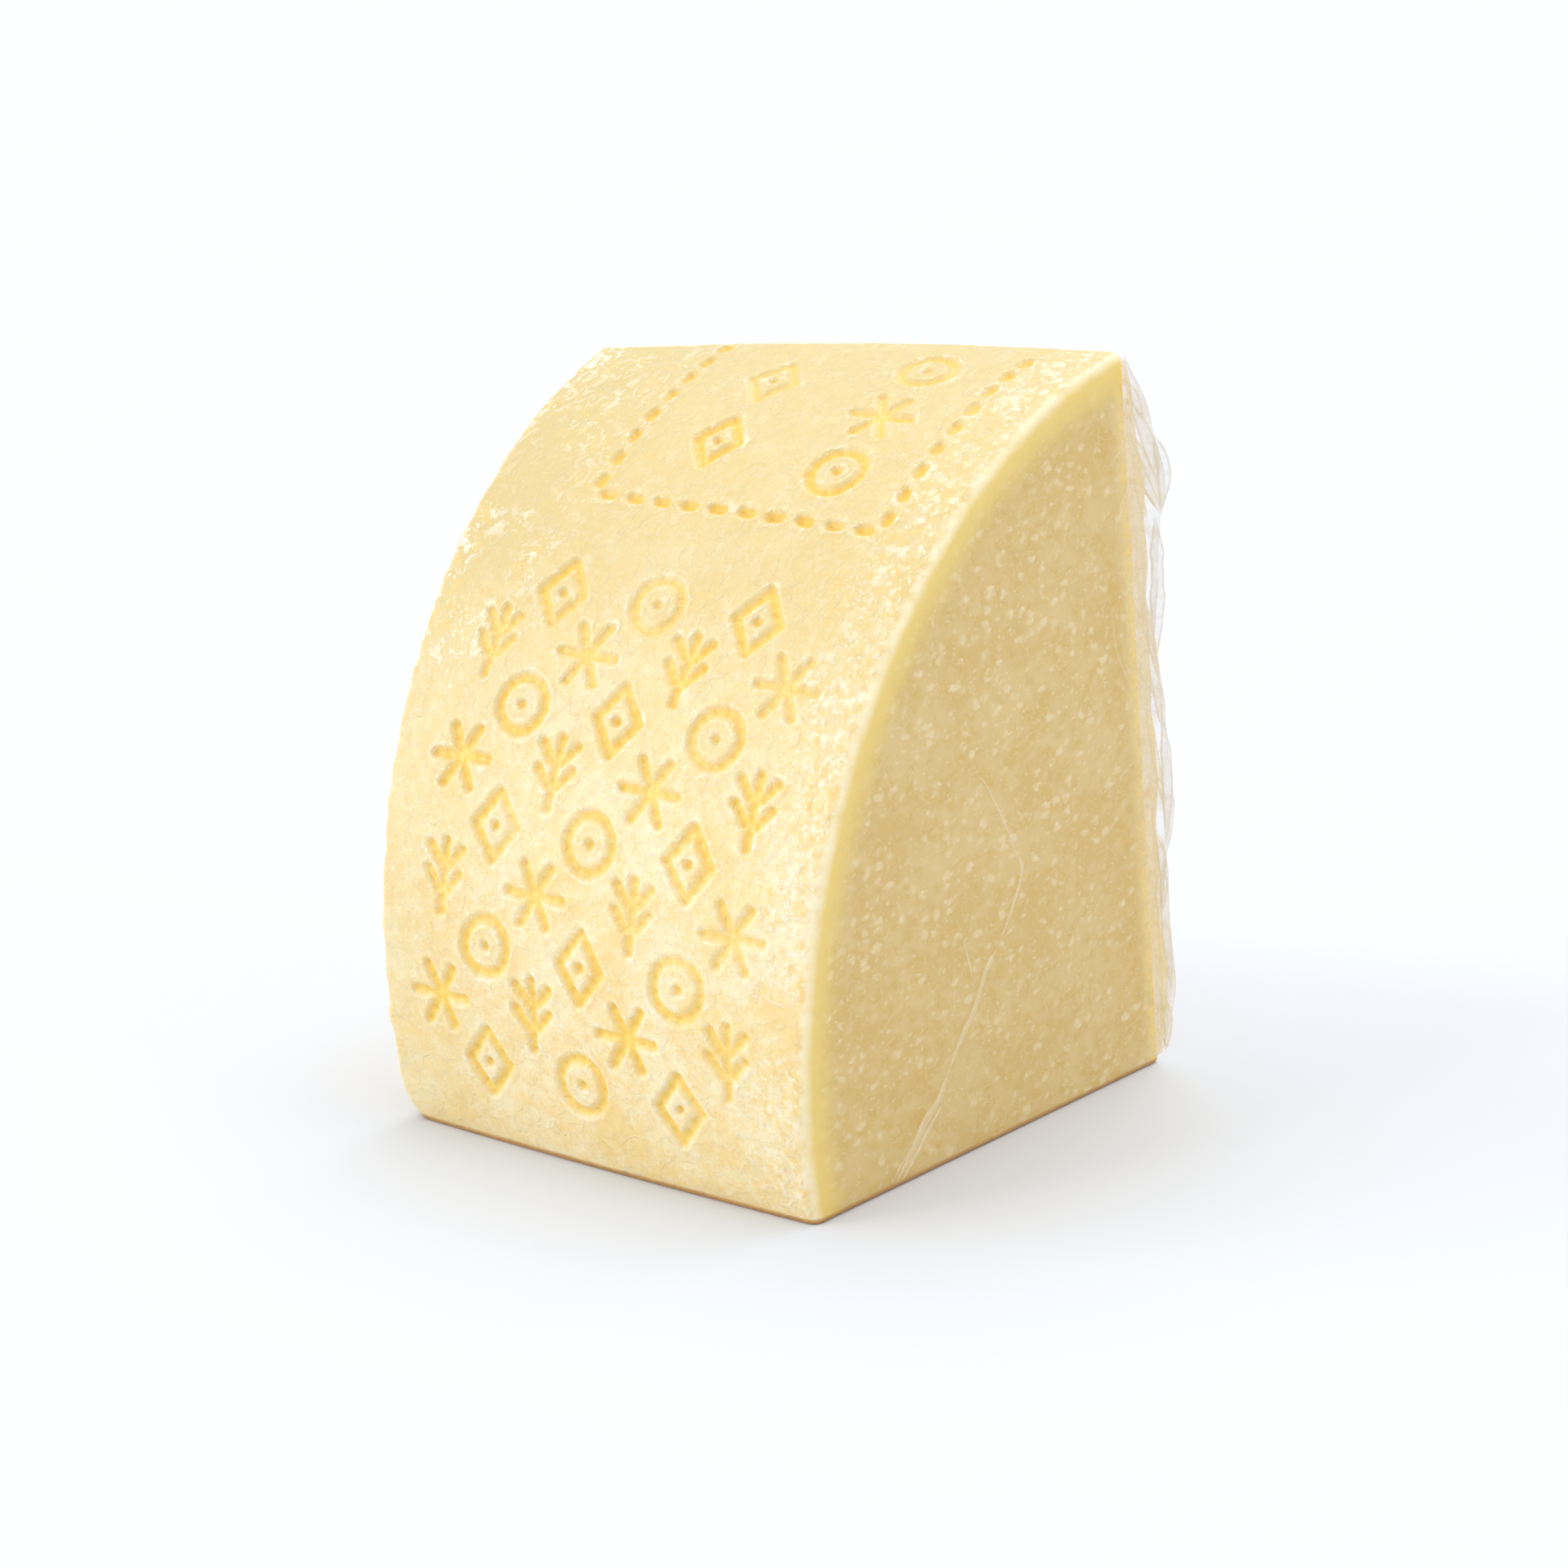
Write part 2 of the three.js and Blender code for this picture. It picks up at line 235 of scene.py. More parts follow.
def under_rind(wedge, x, y, z):
    """Depth of a place under the rind: the wheel's radius less the distance from its axis."""
    return rind_radius(wedge, x) - np.hypot(y, z - wedge.axis_height)


def before_back(wedge, x, y, z):
    """Distance of a place from the plane of the back cut."""
    return (back_foot(wedge, x) - np.tan(wedge.back_lean) * z - y) * np.cos(wedge.back_lean)


def arc(centre_y, centre_z, radius, start, end, part):
    """Points of an arc from angle start to end, at the fractions part."""
    turn = start + (end - start) * part
    return np.stack([centre_y + radius * np.cos(turn), centre_z + radius * np.sin(turn)], axis=-1)


def outline(wedge, x, shrink, parts):
    """The outline in (y, z) of the slice at x, drawn in by up to the roundings' radii.

    Six curves follow each other: the rounded foot, the arc of the rind about the wheel's axis, the
    rounded top, the straight back, the rounded heel and the straight base. A rounding's centre lies one
    radius inside the two curves that it joins. parts gives the fractions along each curve, and x has a
    column for each of them. shrink runs from 0, the full outline, to 1.
    """
    edge, rear = wedge.edge_round, wedge.back_round
    base, height = wedge.base_round, wedge.axis_height
    cos, sin = np.cos(wedge.back_lean), np.sin(wedge.back_lean)
    starts = np.cumsum([0] + [len(part) for part in parts])
    low = base * (1 + shrink)
    places = []
    for curve, part in enumerate(parts):
        here = x[:, starts[curve] : starts[curve + 1]]
        rind = rind_radius(wedge, here) - edge * shrink
        to_back = back_foot(wedge, here) * cos - rear * shrink
        foot = -np.sqrt((rind - base) ** 2 - (low - height) ** 2)
        foot_turn = np.pi + np.arctan2(height - low, -foot)
        top_turn = wedge.back_lean + np.arccos((to_back - rear - height * sin) / (rind - rear))
        top_y = (rind - rear) * np.cos(top_turn)
        top_z = height + (rind - rear) * np.sin(top_turn)
        heel = (to_back - base - low * sin) / cos
        if curve == 0:
            place = arc(foot, low, base, 1.5 * np.pi, foot_turn, part)
        elif curve == 1:
            place = arc(0, height, rind, foot_turn, top_turn, part)
        elif curve == 2:
            place = arc(top_y, top_z, rear, top_turn, wedge.back_lean, part)
        elif curve == 3:
            from_y, from_z = top_y + rear * cos, top_z + rear * sin
            to_y, to_z = heel + base * cos, low + base * sin
            place = np.stack([from_y + (to_y - from_y) * part, from_z + (to_z - from_z) * part], axis=-1)
        elif curve == 4:
            place = arc(heel, low, base, wedge.back_lean, -0.5 * np.pi, part)
        else:
            run = heel + (foot - heel) * part
            place = np.stack([run, np.broadcast_to(low - base, run.shape)], axis=-1)
        places.append(place)
    return np.concatenate(places, axis=1)


def skin_grid(wedge, parts, across, turn):
    """Points of the wedge's skin, one ring for each row, and each ring's columns along the outline.

    across runs from 1 at the right side to 0 at the left. Near a side, turn goes from 0 in the plane of
    the cut to 1 on the outline: the ring shrinks by 1 - sin and moves in by the radius times (1 - cos).
    That radius is the edge's at the rind and the back's at the back, and changes evenly over the rounded
    top and along the base. x and the outline depend on each other, so four passes settle them.
    """
    quarter = turn[:, None] * np.pi / 2
    shrink = 1 - np.sin(quarter)
    edge, rear = wedge.edge_round, wedge.back_round
    ends = ((edge, edge), (edge, edge), (edge, rear), (rear, rear), (rear, rear), (rear, edge))
    radius = np.concatenate([start + (end - start) * part for part, (start, end) in zip(parts, ends)])
    inward = radius * (1 - np.cos(quarter))
    columns = sum(len(part) for part in parts)
    x = wedge.left_foot_x * (1 - across[:, None]) * np.ones((1, columns))
    for _ in range(4):
        places = outline(wedge, x, shrink, parts)
        left = left_side(wedge, places[..., 0], places[..., 1]) + inward
        right = right_side(wedge, places[..., 1]) - inward
        x = left + (right - left) * across[:, None]
    return np.concatenate([x[..., None], places], axis=-1)


# Noise over a surface, as whole arrays. Each use has a seed of its own, the whole number given last.

LATTICE = 64  # cells of random values before they repeat


def smooth_noise(u, v, size, seed):
    """Noise from 0 to 1: random values on a lattice of the given size, joined by quintic steps."""
    table = np.random.default_rng(seed).random((LATTICE, LATTICE))
    u, v = np.asarray(u) / size, np.asarray(v) / size
    i, j = np.floor(u).astype(int), np.floor(v).astype(int)
    f, g = u - i, v - j
    f, g = f**3 * (f * (f * 6 - 15) + 10), g**3 * (g * (g * 6 - 15) + 10)
    i, j, i1, j1 = i % LATTICE, j % LATTICE, (i + 1) % LATTICE, (j + 1) % LATTICE
    low = table[i, j] * (1 - f) + table[i1, j] * f
    high = table[i, j1] * (1 - f) + table[i1, j1] * f
    return low * (1 - g) + high * g


def rough_noise(u, v, size, octaves, seed):
    """Smooth noise summed over octaves, each half as large and half as strong, from 0 to 1."""
    total = sum(smooth_noise(u, v, size / 2**k, seed + k) / 2**k for k in range(octaves))
    return total / sum(1 / 2**k for k in range(octaves))


def ridges(u, v, size, octaves, seed):
    """Noise with sharp crests: one minus the distance of rough noise from its middle, from 0 to 1."""
    return 1 - 2 * np.abs(rough_noise(u, v, size, octaves, seed) - 0.5)


def pebbles(u, v, size, seed):
    """Rounded bumps packed side by side, from 0 to 1.

    One point is scattered in each cell of a lattice of the given size. The height is one minus the
    squared distance to the nearest point, in terms of a bump's reach.
    """
    reach = 0.62
    scatter = np.random.default_rng(seed).random((2, LATTICE, LATTICE))
    u, v = u / size, v / size
    i, j = np.floor(u).astype(int), np.floor(v).astype(int)
    nearest = np.full(np.shape(u), np.inf)
    for di in (-1, 0, 1):
        for dj in (-1, 0, 1):
            a, b = i + di, j + dj
            du = a + scatter[0, a % LATTICE, b % LATTICE] - u
            dv = b + scatter[1, a % LATTICE, b % LATTICE] - v
            nearest = np.minimum(nearest, du**2 + dv**2)
    return np.clip(1 - nearest / reach**2, 0, 1)


def crumpled(u, v, size, seed):
    """Facets of a crumpled sheet: height from 0 to 1, closeness to a crease and each facet's own value.

    One point is scattered in each cell of a lattice of the given size. The height is the distance to
    the nearest point, so creases are sharp crests between hollow facets. A crease is where the two
    nearest points are equally near.
    """
    random = np.random.default_rng(seed)
    scatter, own = random.random((2, LATTICE, LATTICE)), random.random((LATTICE, LATTICE))
    u, v = u / size, v / size
    i, j = np.floor(u).astype(int), np.floor(v).astype(int)
    nearest, second = np.full(u.shape, np.inf), np.full(u.shape, np.inf)
    value = np.zeros(u.shape)
    for di in (-1, 0, 1):
        for dj in (-1, 0, 1):
            a, b = i + di, j + dj
            du = a + scatter[0, a % LATTICE, b % LATTICE] - u
            dv = b + scatter[1, a % LATTICE, b % LATTICE] - v
            apart = np.hypot(du, dv)
            closer = apart < nearest
            second = np.where(closer, nearest, np.minimum(second, apart))
            value = np.where(closer, own[a % LATTICE, b % LATTICE], value)
            nearest = np.minimum(nearest, apart)
    return np.clip(nearest, 0, 1), 1 - step(second - nearest, 0, 0.16), value


CUT_WAVES = ((0.9, 34, 21), (0.4, 6, 31))  # height and size in millimetres, and seed
CUT_EDGE = (3 * MM, 14 * MM)  # from an edge of the cut: no waves up to the first, full beyond the second


def cut_wave(wedge, x, y, z, side):
    """How far a cut side stands out from its plane: shallow waves that fade out towards its edges."""
    inside = np.minimum(np.minimum(under_rind(wedge, x, y, z), z), before_back(wedge, x, y, z))
    waves = [
        high * MM * (rough_noise(y, z, size * MM, 3, seed + side) - 0.5) for high, size, seed in CUT_WAVES
    ]
    return sum(waves) * step(inside, *CUT_EDGE)


# Ornament


def rosette(sizes):
    """A ring of pricks round a single one."""
    return [("ring", (0, 0), sizes.rosette_radius), ("stroke", (0, 0), (0, 0))]


def lozenge(sizes):
    """Four sides round a single prick."""
    wide, high = sizes.lozenge_wide, sizes.lozenge_high
    corners = [(wide, 0), (0, high), (-wide, 0), (0, -high)]
    sides = [("stroke", corner, corners[(k + 1) % 4]) for k, corner in enumerate(corners)]
    return sides + [("stroke", (0, 0), (0, 0))]


def star(sizes):
    """Three spokes that cross at their middles."""
    turns = np.arange(3) * np.pi / 3
    ends = sizes.star_half * np.stack([np.cos(turns), np.sin(turns)], axis=-1)
    return [("stroke", tuple(-end), tuple(end)) for end in ends]


def sprig(sizes):
    """A stem with two pairs of leaves."""
    marks = [("stroke", (0, -sizes.sprig_half), (0, sizes.sprig_half))]
    for root in (-0.35 * sizes.sprig_half, 0.35 * sizes.sprig_half):
        for side in (-1, 1):
            start = (side * 1.2 * sizes.groove_radius, root)
            marks.append(("stroke", start, (side * sizes.sprig_leaf, root + 0.8 * sizes.sprig_leaf)))
    return marks


FIELD_ROWS = 4  # on either side of the middle row
FRAMED = (  # motifs inside the frame: x, up in millimetres, and the motif
    (-74, 212, lozenge), (-74, 187, lozenge), (-36, 224, rosette), (-36, 203, star), (-36, 182, rosette),
)
DASHES_ACROSS, DASHES_UP = 10, 9


def motifs(sizes):
    """Every motif as (place, marks): a lattice whose every other row is moved by half the pitch."""
    kinds = [rosette, star, lozenge, sprig]
    found = []
    for row in range(-FIELD_ROWS, FIELD_ROWS + 1):
        shift = 0.5 * (row % 2)
        across = int(sizes.field_half / sizes.motif_pitch - shift)
        for k in range(-across - round(2 * shift), across + 1):
            x = sizes.field_x + (k + shift) * sizes.motif_pitch
            up = sizes.field_up + row * sizes.row_pitch
            found.append(((x, up), kinds[(row + 2 * k) % 4](sizes)))
    return found + [((x * MM, up * MM), kind(sizes)) for x, up, kind in FRAMED]


def dashes(sizes):
    """The frame's dashes as (place, half length in x, half length up), open at the top."""
    half = sizes.dash_half
    wide = sizes.frame_right - sizes.frame_left
    high = sizes.frame_top - sizes.frame_bottom
    across = sizes.frame_left + (np.arange(DASHES_ACROSS) + 0.5) * wide / DASHES_ACROSS
    rises = sizes.frame_bottom + (np.arange(DASHES_UP) + 0.5) * high / DASHES_UP
    found = [((x, sizes.frame_bottom), half, 0.0) for x in across]
    return found + [((x, up), 0.0, half) for up in rises for x in (sizes.frame_left, sizes.frame_right)]


def along_stroke(u, v, start, end):
    """Distance of each point from a stroke, its place along the stroke, and the stroke's length."""
    run = np.subtract(end, start)
    whole = max(np.hypot(*run), 1e-9)
    along = np.clip(((u - start[0]) * run[0] + (v - start[1]) * run[1]) / whole, 0, whole)
    off = np.hypot(u - start[0] - along * run[0] / whole, v - start[1] - along * run[1] / whole)
    return off, along, whole


def pressed(off, along, pitch, sizes):
    """Depth of a groove with pricks in it: the deeper of a round-bottomed groove and round pits."""
    across = np.clip(off / (1.4 * sizes.groove_radius), 0, 1)
    groove = sizes.groove_depth * (1 - across**2) ** 1.5
    beside = along - np.round(along / pitch) * pitch
    near = np.clip(np.hypot(off, 0.85 * beside) / (1.3 * sizes.groove_radius), 0, 1)
    return np.maximum(groove, sizes.prick_depth * (1 - near**2) ** 1.4)


def ornament_relief(x, up, sizes):
    """Depth of the ornament and height of the lip that it pushes up, at each place on the rind.

    The places are bent a little by noise, so that no two motifs are alike, and the depth varies over
    the rind.
    """
    bend = 0.8 * MM
    bent_x = x + bend * (rough_noise(x, up, 8 * MM, 2, 3) - 0.5)
    bent_up = up + bend * (rough_noise(x, up, 8 * MM, 2, 5) - 0.5)
    depth = np.zeros_like(x)
    nearest = np.full_like(x, 1.0)
    reach = 12 * MM  # of a motif from its middle
    for (place_x, place_up), marks in motifs(sizes):
        near = (np.abs(bent_x - place_x) < reach) & (np.abs(bent_up - place_up) < reach)
        u, v = bent_x[near] - place_x, bent_up[near] - place_up
        for kind, start, end in marks:
            if kind == "ring":
                off = np.abs(np.hypot(u, v) - end)
                whole = FULL_TURN * end
                along = np.arctan2(v, u) * end
            else:
                off, along, whole = along_stroke(u, v, start, end)
            pitch = whole / max(round(whole / sizes.prick_pitch), 1)
            depth[near] = np.maximum(depth[near], pressed(off, along, pitch, sizes))
            nearest[near] = np.minimum(nearest[near], off)
    for (place_x, place_up), half_x, half_up in dashes(sizes):
        near = (np.abs(bent_x - place_x) < reach) & (np.abs(bent_up - place_up) < reach)
        u, v = bent_x[near] - place_x, bent_up[near] - place_up
        off, _, _ = along_stroke(u, v, (-half_x, -half_up), (half_x, half_up))
        part = np.clip(off / (1.1 * sizes.dash_radius), 0, 1)
        depth[near] = np.maximum(depth[near], 1.1 * sizes.prick_depth * (1 - part**2) ** 1.2)
        nearest[near] = np.minimum(nearest[near], off - (sizes.dash_radius - sizes.groove_radius))
    worn = 0.68 + 0.5 * smooth_noise(x, up, 21 * MM, 7)
    lip = np.exp(-(((nearest - 1.55 * sizes.groove_radius) / (0.6 * MM)) ** 2))
    return depth * worn, lip * worn


# Meshes


def make_piece(name, points, triangles, material, values=None):
    """A smooth mesh object from arrays, with its values as attributes of its points."""
    mesh = bpy.data.meshes.new(name)
    mesh.vertices.add(len(points))
    mesh.vertices.foreach_set("co", np.ascontiguousarray(points, dtype=np.float32).ravel())
    mesh.loops.add(3 * len(triangles))
    mesh.loops.foreach_set("vertex_index", np.ascontiguousarray(triangles, dtype=np.int32).ravel())
    mesh.polygons.add(len(triangles))
    mesh.polygons.foreach_set("loop_start", np.arange(0, 3 * len(triangles), 3, dtype=np.int32))
    mesh.polygons.foreach_set("use_smooth", np.ones(len(triangles), dtype=bool))
    for key, numbers in (values or {}).items():
        attribute = mesh.attributes.new(key, "FLOAT", "POINT")
        attribute.data.foreach_set("value", np.ascontiguousarray(numbers, dtype=np.float32))
    mesh.update(calc_edges=True)
    mesh.validate()
    mesh.materials.append(material)
    piece = bpy.data.objects.new(name, mesh)
    bpy.context.scene.collection.objects.link(piece)
    return piece


def ring_faces(rows, columns):
    """Triangles between closed rings of points: every cell of the grid is split in two."""
    row, column = np.meshgrid(np.arange(rows - 1), np.arange(columns), indexing="ij")
    a = row * columns + column
    b = row * columns + (column + 1) % columns
    c, d = b + columns, a + columns
    return np.concatenate([np.stack([a, b, c], -1).reshape(-1, 3), np.stack([a, c, d], -1).reshape(-1, 3)])


def grid_normals(points):
    """Outward normals of a grid of closed rings: the cross product of its two directions."""
    along = np.roll(points, -1, axis=1) - np.roll(points, 1, axis=1)
    over = np.gradient(points, axis=0)
    normals = np.cross(along, over)
    return normals / np.maximum(np.linalg.norm(normals, axis=-1, keepdims=True), 1e-12)


def wheel_to_frame(wedge):
    """The shift from the wheel's coordinates to the frame's, from the two boxes of the cheese."""
    parts = [np.linspace(0, 1, 40, endpoint=False)] * 6
    across = np.array([1.0, 1, 1, 0.5, 0, 0, 0])
    turn = np.array([0, 0.5, 1, 1, 1, 0.5, 0])
    points = skin_grid(wedge, parts, across, turn).reshape(-1, 3)
    shift = cheese_box.mean(axis=0) - (points.min(axis=0) + points.max(axis=0)) / 2
    shift[2] = cheese_box[0, 2] - points[:, 2].min()
    return shift


CAP_RINGS = ((1, 5), (2, 16), (4, 11))  # from the rim inwards: every how many columns, and rings


def cap(rim, first, side, wedge):
    """A cut face inside a rim of points: shrinking rings, of which later ones have half the points.

    A ring is the rim drawn towards its middle and laid on the side's own surface and waves. Returns the
    new points and the triangles, whose indices count from first: where the rim's own points start, and
    where the new points start.
    """
    middle = rim.mean(axis=0)
    rings_in_all = sum(rings for _, rings in CAP_RINGS)
    shrink = iter(1 - np.linspace(0, 1, rings_in_all + 2)[1:-1] ** 1.05)
    rings = [middle + (rim[::stride] - middle) * next(shrink) for stride, n in CAP_RINGS for _ in range(n)]
    points = np.concatenate(rings + [middle[None]])
    x, y, z = points.T
    flat = right_side(wedge, z) if side > 0 else left_side(wedge, y, z)
    points[:, 0] = flat + side * cut_wave(wedge, x, y, z, side)
    sizes = [len(rim)] + [len(ring) for ring in rings] + [1]
    starts = [first[0]] + list(first[1] + np.cumsum([0] + sizes[1:-1]))
    faces = []
    for k, (here, inner_count) in enumerate(zip(sizes, sizes[1:])):
        outer = starts[k] + np.arange(here)
        inner = starts[k + 1] + np.arange(inner_count)
        after = np.roll(inner, -1)
        if inner_count == here:
            faces += [np.stack([outer, np.roll(outer, -1), after], -1), np.stack([outer, after, inner], -1)]
        elif inner_count == 1:
            faces.append(np.stack([outer, np.roll(outer, -1), np.broadcast_to(inner, outer.shape)], -1))
        else:
            even, odd = outer[::2], outer[1::2]
            faces += [np.stack([even, odd, inner], -1), np.stack([odd, after, inner], -1)]
            faces.append(np.stack([odd, np.roll(even, -1), after], -1))
    faces = np.concatenate(faces)
    return points, faces[:, ::-1] if side > 0 else faces


# Zones of the rind. From a side, a finish is full up to the first length and gone beyond the second.
FLAKED_FROM_LEFT = (18 * MM, 42 * MM)
PEBBLED_FROM_RIGHT = (5 * MM, 27 * MM)
# Near the left side the rind gets painted shade, offsetting the low light on the left that falls on it
SHADE_FROM_LEFT = (0, 60 * MM)
# Up the rind, it sets in from the first length to the second, and the painted shade of the upper rind,
# which offsets the stronger light there, deepens up to the third.
FLAKED_UP = (96 * MM, 140 * MM)
SHADE_UP = (60 * MM, 165 * MM, 230 * MM)


def rind_relief(wedge, sizes, x, y, z):
    """How far the rind stands out from the wheel, and its attributes.

    The ornament is pressed in and pushes up a lip. Broad and fine noise make the rind uneven, pebbles
    cover it towards the right side, and ridges wrinkle it high up at the left side. The factors of the
    sum are heights in millimetres.
    """
    foot_angle = np.arcsin(wedge.axis_height / wedge.wheel_radius)
    up = (np.arctan2(z - wedge.axis_height, -y) + foot_angle) * wedge.wheel_radius
    depth, lip = ornament_relief(x, up, sizes)
    right_gap = right_side(wedge, z) - x
    left_gap = x - left_side(wedge, y, z)
    patch = rough_noise(x, up, 24 * MM, 3, 41)
    flake = (1 - step(left_gap, *FLAKED_FROM_LEFT)) * step(up, *FLAKED_UP) * step(patch, 0.28, 0.50)
    pebble = (1 - step(right_gap, *PEBBLED_FROM_RIGHT)) * step(patch, 0.16, 0.46)
    broad = rough_noise(x, up, 38 * MM, 3, 51) - 0.5
    fine = rough_noise(x, up, 4.5 * MM, 3, 61) - 0.5
    wrinkle = ridges(x, up * 0.8, 4.5 * MM, 3, 71) - 0.6
    bumps = pebbles(x, up, 2.6 * MM, 81) - 0.5
    raised = 0.9 * broad + 0.30 * fine + 0.6 * flake * wrinkle + 0.3 * pebble * bumps
    # Painted shade: more of it high up the rind and near the left side, where more light falls
    painted_shade = 0.8 * step(up, *SHADE_UP[:2]) + 0.3 * step(up, *SHADE_UP[1:])
    painted_shade = painted_shade + 0.35 * (1 - step(left_gap, *SHADE_FROM_LEFT))
    values = {"groove": depth / sizes.prick_depth, "lip": lip, "flake": flake, "pebble": pebble}
    return raised * MM + sizes.lip_height * lip - depth, values | {"painted_shade": painted_shade}


SKIN_COUNTS = (4, 344, 4, 20, 4, 16)  # columns along each curve of the outline
SKIN_ROUNDS, SKIN_ROWS = 4, 212  # rings in the rounding at each side, and between them
PAST_REAR = 12  # millimetres from the back cut, past the reach of the yellow there


def wedge_surface(wedge, sizes):
    """The whole cheese: points, triangles and attributes.

    Rings run over the rind, down the back and along the base, and two caps close the sides. Shallow nicks
    make the rounded edges of the sides uneven, and nothing is pushed out close to the floor. Attributes:
    skin is 1 on the rind and 0 on the cuts, below is the depth under the rind, and rear, on the two sides,
    the distance from the back cut, both in millimetres. groove and lip tell of the ornament, flake and
    pebble of the rind's rough parts, and the last one, from the height up the rind and how close the left
    side is, how much painted shade darkens the rind where more light falls.
    """
    parts = [np.linspace(0, 1, count, endpoint=False) for count in SKIN_COUNTS]
    rounding = np.arange(SKIN_ROUNDS) / SKIN_ROUNDS
    ends = np.ones(SKIN_ROUNDS)
    across = np.concatenate([ends, np.linspace(1, 0, SKIN_ROWS), 0 * ends])
    turn = np.concatenate([rounding, np.ones(SKIN_ROWS), rounding[::-1]])
    points = skin_grid(wedge, parts, across, turn)
    normals = grid_normals(points)
    x, y, z = points[..., 0], points[..., 1], points[..., 2]
    columns = np.arange(sum(SKIN_COUNTS))
    start, end = SKIN_COUNTS[0], SKIN_COUNTS[0] + SKIN_COUNTS[1]
    on_rind = step(columns, start - 3.5, start + 1) * (1 - step(columns, end - 1, end + 3))
    skin = on_rind[None, :] * turn[:, None]
    raised, marks = rind_relief(wedge, sizes, x, y, z)
    cuts = 0.6 * MM * (rough_noise(x, y + z, 24 * MM, 3, 91) - 0.5)
    nicks = 1.1 * MM * (rough_noise(y, z + x, 5.5 * MM, 3, 95) - 0.56)
    on_edge = 4 * turn * (1 - turn)
    push = turn[:, None] * (skin * raised + (1 - skin) * cuts) + on_edge[:, None] * nicks
    push = push * step(z, 0, 4 * MM)
    points = points + normals * push[..., None]

    rows, count = points.shape[:2]
    grounds, faces = [points.reshape(-1, 3)], [ring_faces(rows, count)]
    for side, rim, first in ((1, points[0], 0), (-1, points[-1], (rows - 1) * count)):
        more, more_faces = cap(rim, (first, sum(len(ground) for ground in grounds)), side, wedge)
        grounds.append(more)
        faces.append(more_faces)
    points = np.concatenate(grounds)
    x, y, z = points.T
    values = {"skin": skin} | {key: skin * mark for key, mark in marks.items()}
    on_caps = np.zeros(len(points) - rows * count)
    values = {key: np.concatenate([value.ravel(), on_caps]) for key, value in values.items()}
    values["below"] = np.maximum(under_rind(wedge, x, y, z), 0) / MM
    on_ring = np.repeat(turn, count)
    values["rear"] = np.maximum(before_back(wedge, x, y, z), 0) / MM
    values["rear"][: rows * count] += PAST_REAR * on_ring
    return points, np.concatenate(faces), values


# Film


def closed_sheet(outer, inner):
    """A thin closed sheet from two grids of points, rows by columns: its faces and its four rims."""
    rings = np.concatenate([outer, inner[:, ::-1]], axis=1)
    rows, count = rings.shape[:2]
    k = np.arange(count // 2 - 1)
    a, b, c, d = k, k + 1, count - 2 - k, count - 1 - k
    last = (rows - 1) * count
    ends = [np.stack([a, c, b], -1), np.stack([a, d, c], -1)]
    ends += [last + np.stack([a, b, c], -1), last + np.stack([a, c, d], -1)]
    return rings.reshape(-1, 3), np.concatenate([ring_faces(rows, count)] + ends)


def film_path(wedge, high, counts, flaps):
    """The film's path from the right side round the back to the left side, at the heights high.

    Five stretches: straight along the right side, an arc round the corner, straight along the back, an
    arc round the far corner, and straight along the left side. An arc's centre lies one radius of the
    back's edges inside both sides. high has a row for each line of the film and a column for each step of
    the path. Returns points (rows, columns, 2), outward angles and the distance from the first corner,
    positive over the back.
    """
    edge = wedge.back_round
    back_turn = np.pi / 2 + wedge.back_turn
    starts = np.cumsum([0] + list(counts))
    run = np.array([0.0, 1.0])
    places, angles = [], []
    for stretch, count in enumerate(counts):
        z = high[:, starts[stretch] : starts[stretch + 1]]
        slope = np.tan(wedge.back_lean) * z
        centres = []
        for x, side in ((right_side(wedge, z), 0.0), (left_side(wedge, -slope, z), np.pi)):
            corner = np.stack([x, back_foot(wedge, x) - slope], -1)
            inward = np.array([np.cos(side) + np.cos(back_turn), np.sin(side) + np.sin(back_turn)])
            centres.append(corner - edge * inward / (1 + np.cos(back_turn - side)))
        first, last = centres
        part = np.linspace(0, 1, count, endpoint=False)
        along = part[None, :, None]
        centre = (
            first - run * flaps[0] * (1 - along),
            first,
            first + (last - first) * along,
            last,
            last - run * flaps[1] * along,
        )[stretch]
        turned = (0 * part, back_turn * part, back_turn + 0 * part,
                  back_turn + (np.pi - back_turn) * part, np.pi + 0 * part)[stretch]
        turned = np.broadcast_to(turned, z.shape)
        places.append(centre + edge * np.stack([np.cos(turned), np.sin(turned)], -1))
        angles.append(turned)
    base = np.concatenate(places, axis=1)
    run_length = np.cumsum(np.linalg.norm(np.diff(base, axis=1, prepend=base[:, :1]), axis=-1), axis=1)
    corner_at = counts[0] + counts[1] // 2
    return base, np.concatenate(angles, axis=1), run_length - run_length[:, corner_at : corner_at + 1]


def smooth_curve(knots, count):
    """A curve through knots: cubic pieces whose slope at a knot is half the run between its neighbours."""
    knots = np.asarray(knots, dtype=float)
    ends = np.concatenate([2 * knots[:1] - knots[1:2], knots, 2 * knots[-1:] - knots[-2:-1]])
    place = np.linspace(0, len(knots) - 1, count)
    piece = np.minimum(place.astype(int), len(knots) - 2)
    t = (place - piece)[:, None]
    p0, p1, p2, p3 = (ends[piece + k] for k in range(4))
    slope1, slope2 = (p2 - p0) / 2, (p3 - p1) / 2
    return (
        p1 * (2 * t**3 - 3 * t**2 + 1) + slope1 * (t**3 - 2 * t**2 + t)
        + p2 * (3 * t**2 - 2 * t**3) + slope2 * (t**3 - t**2)
    )


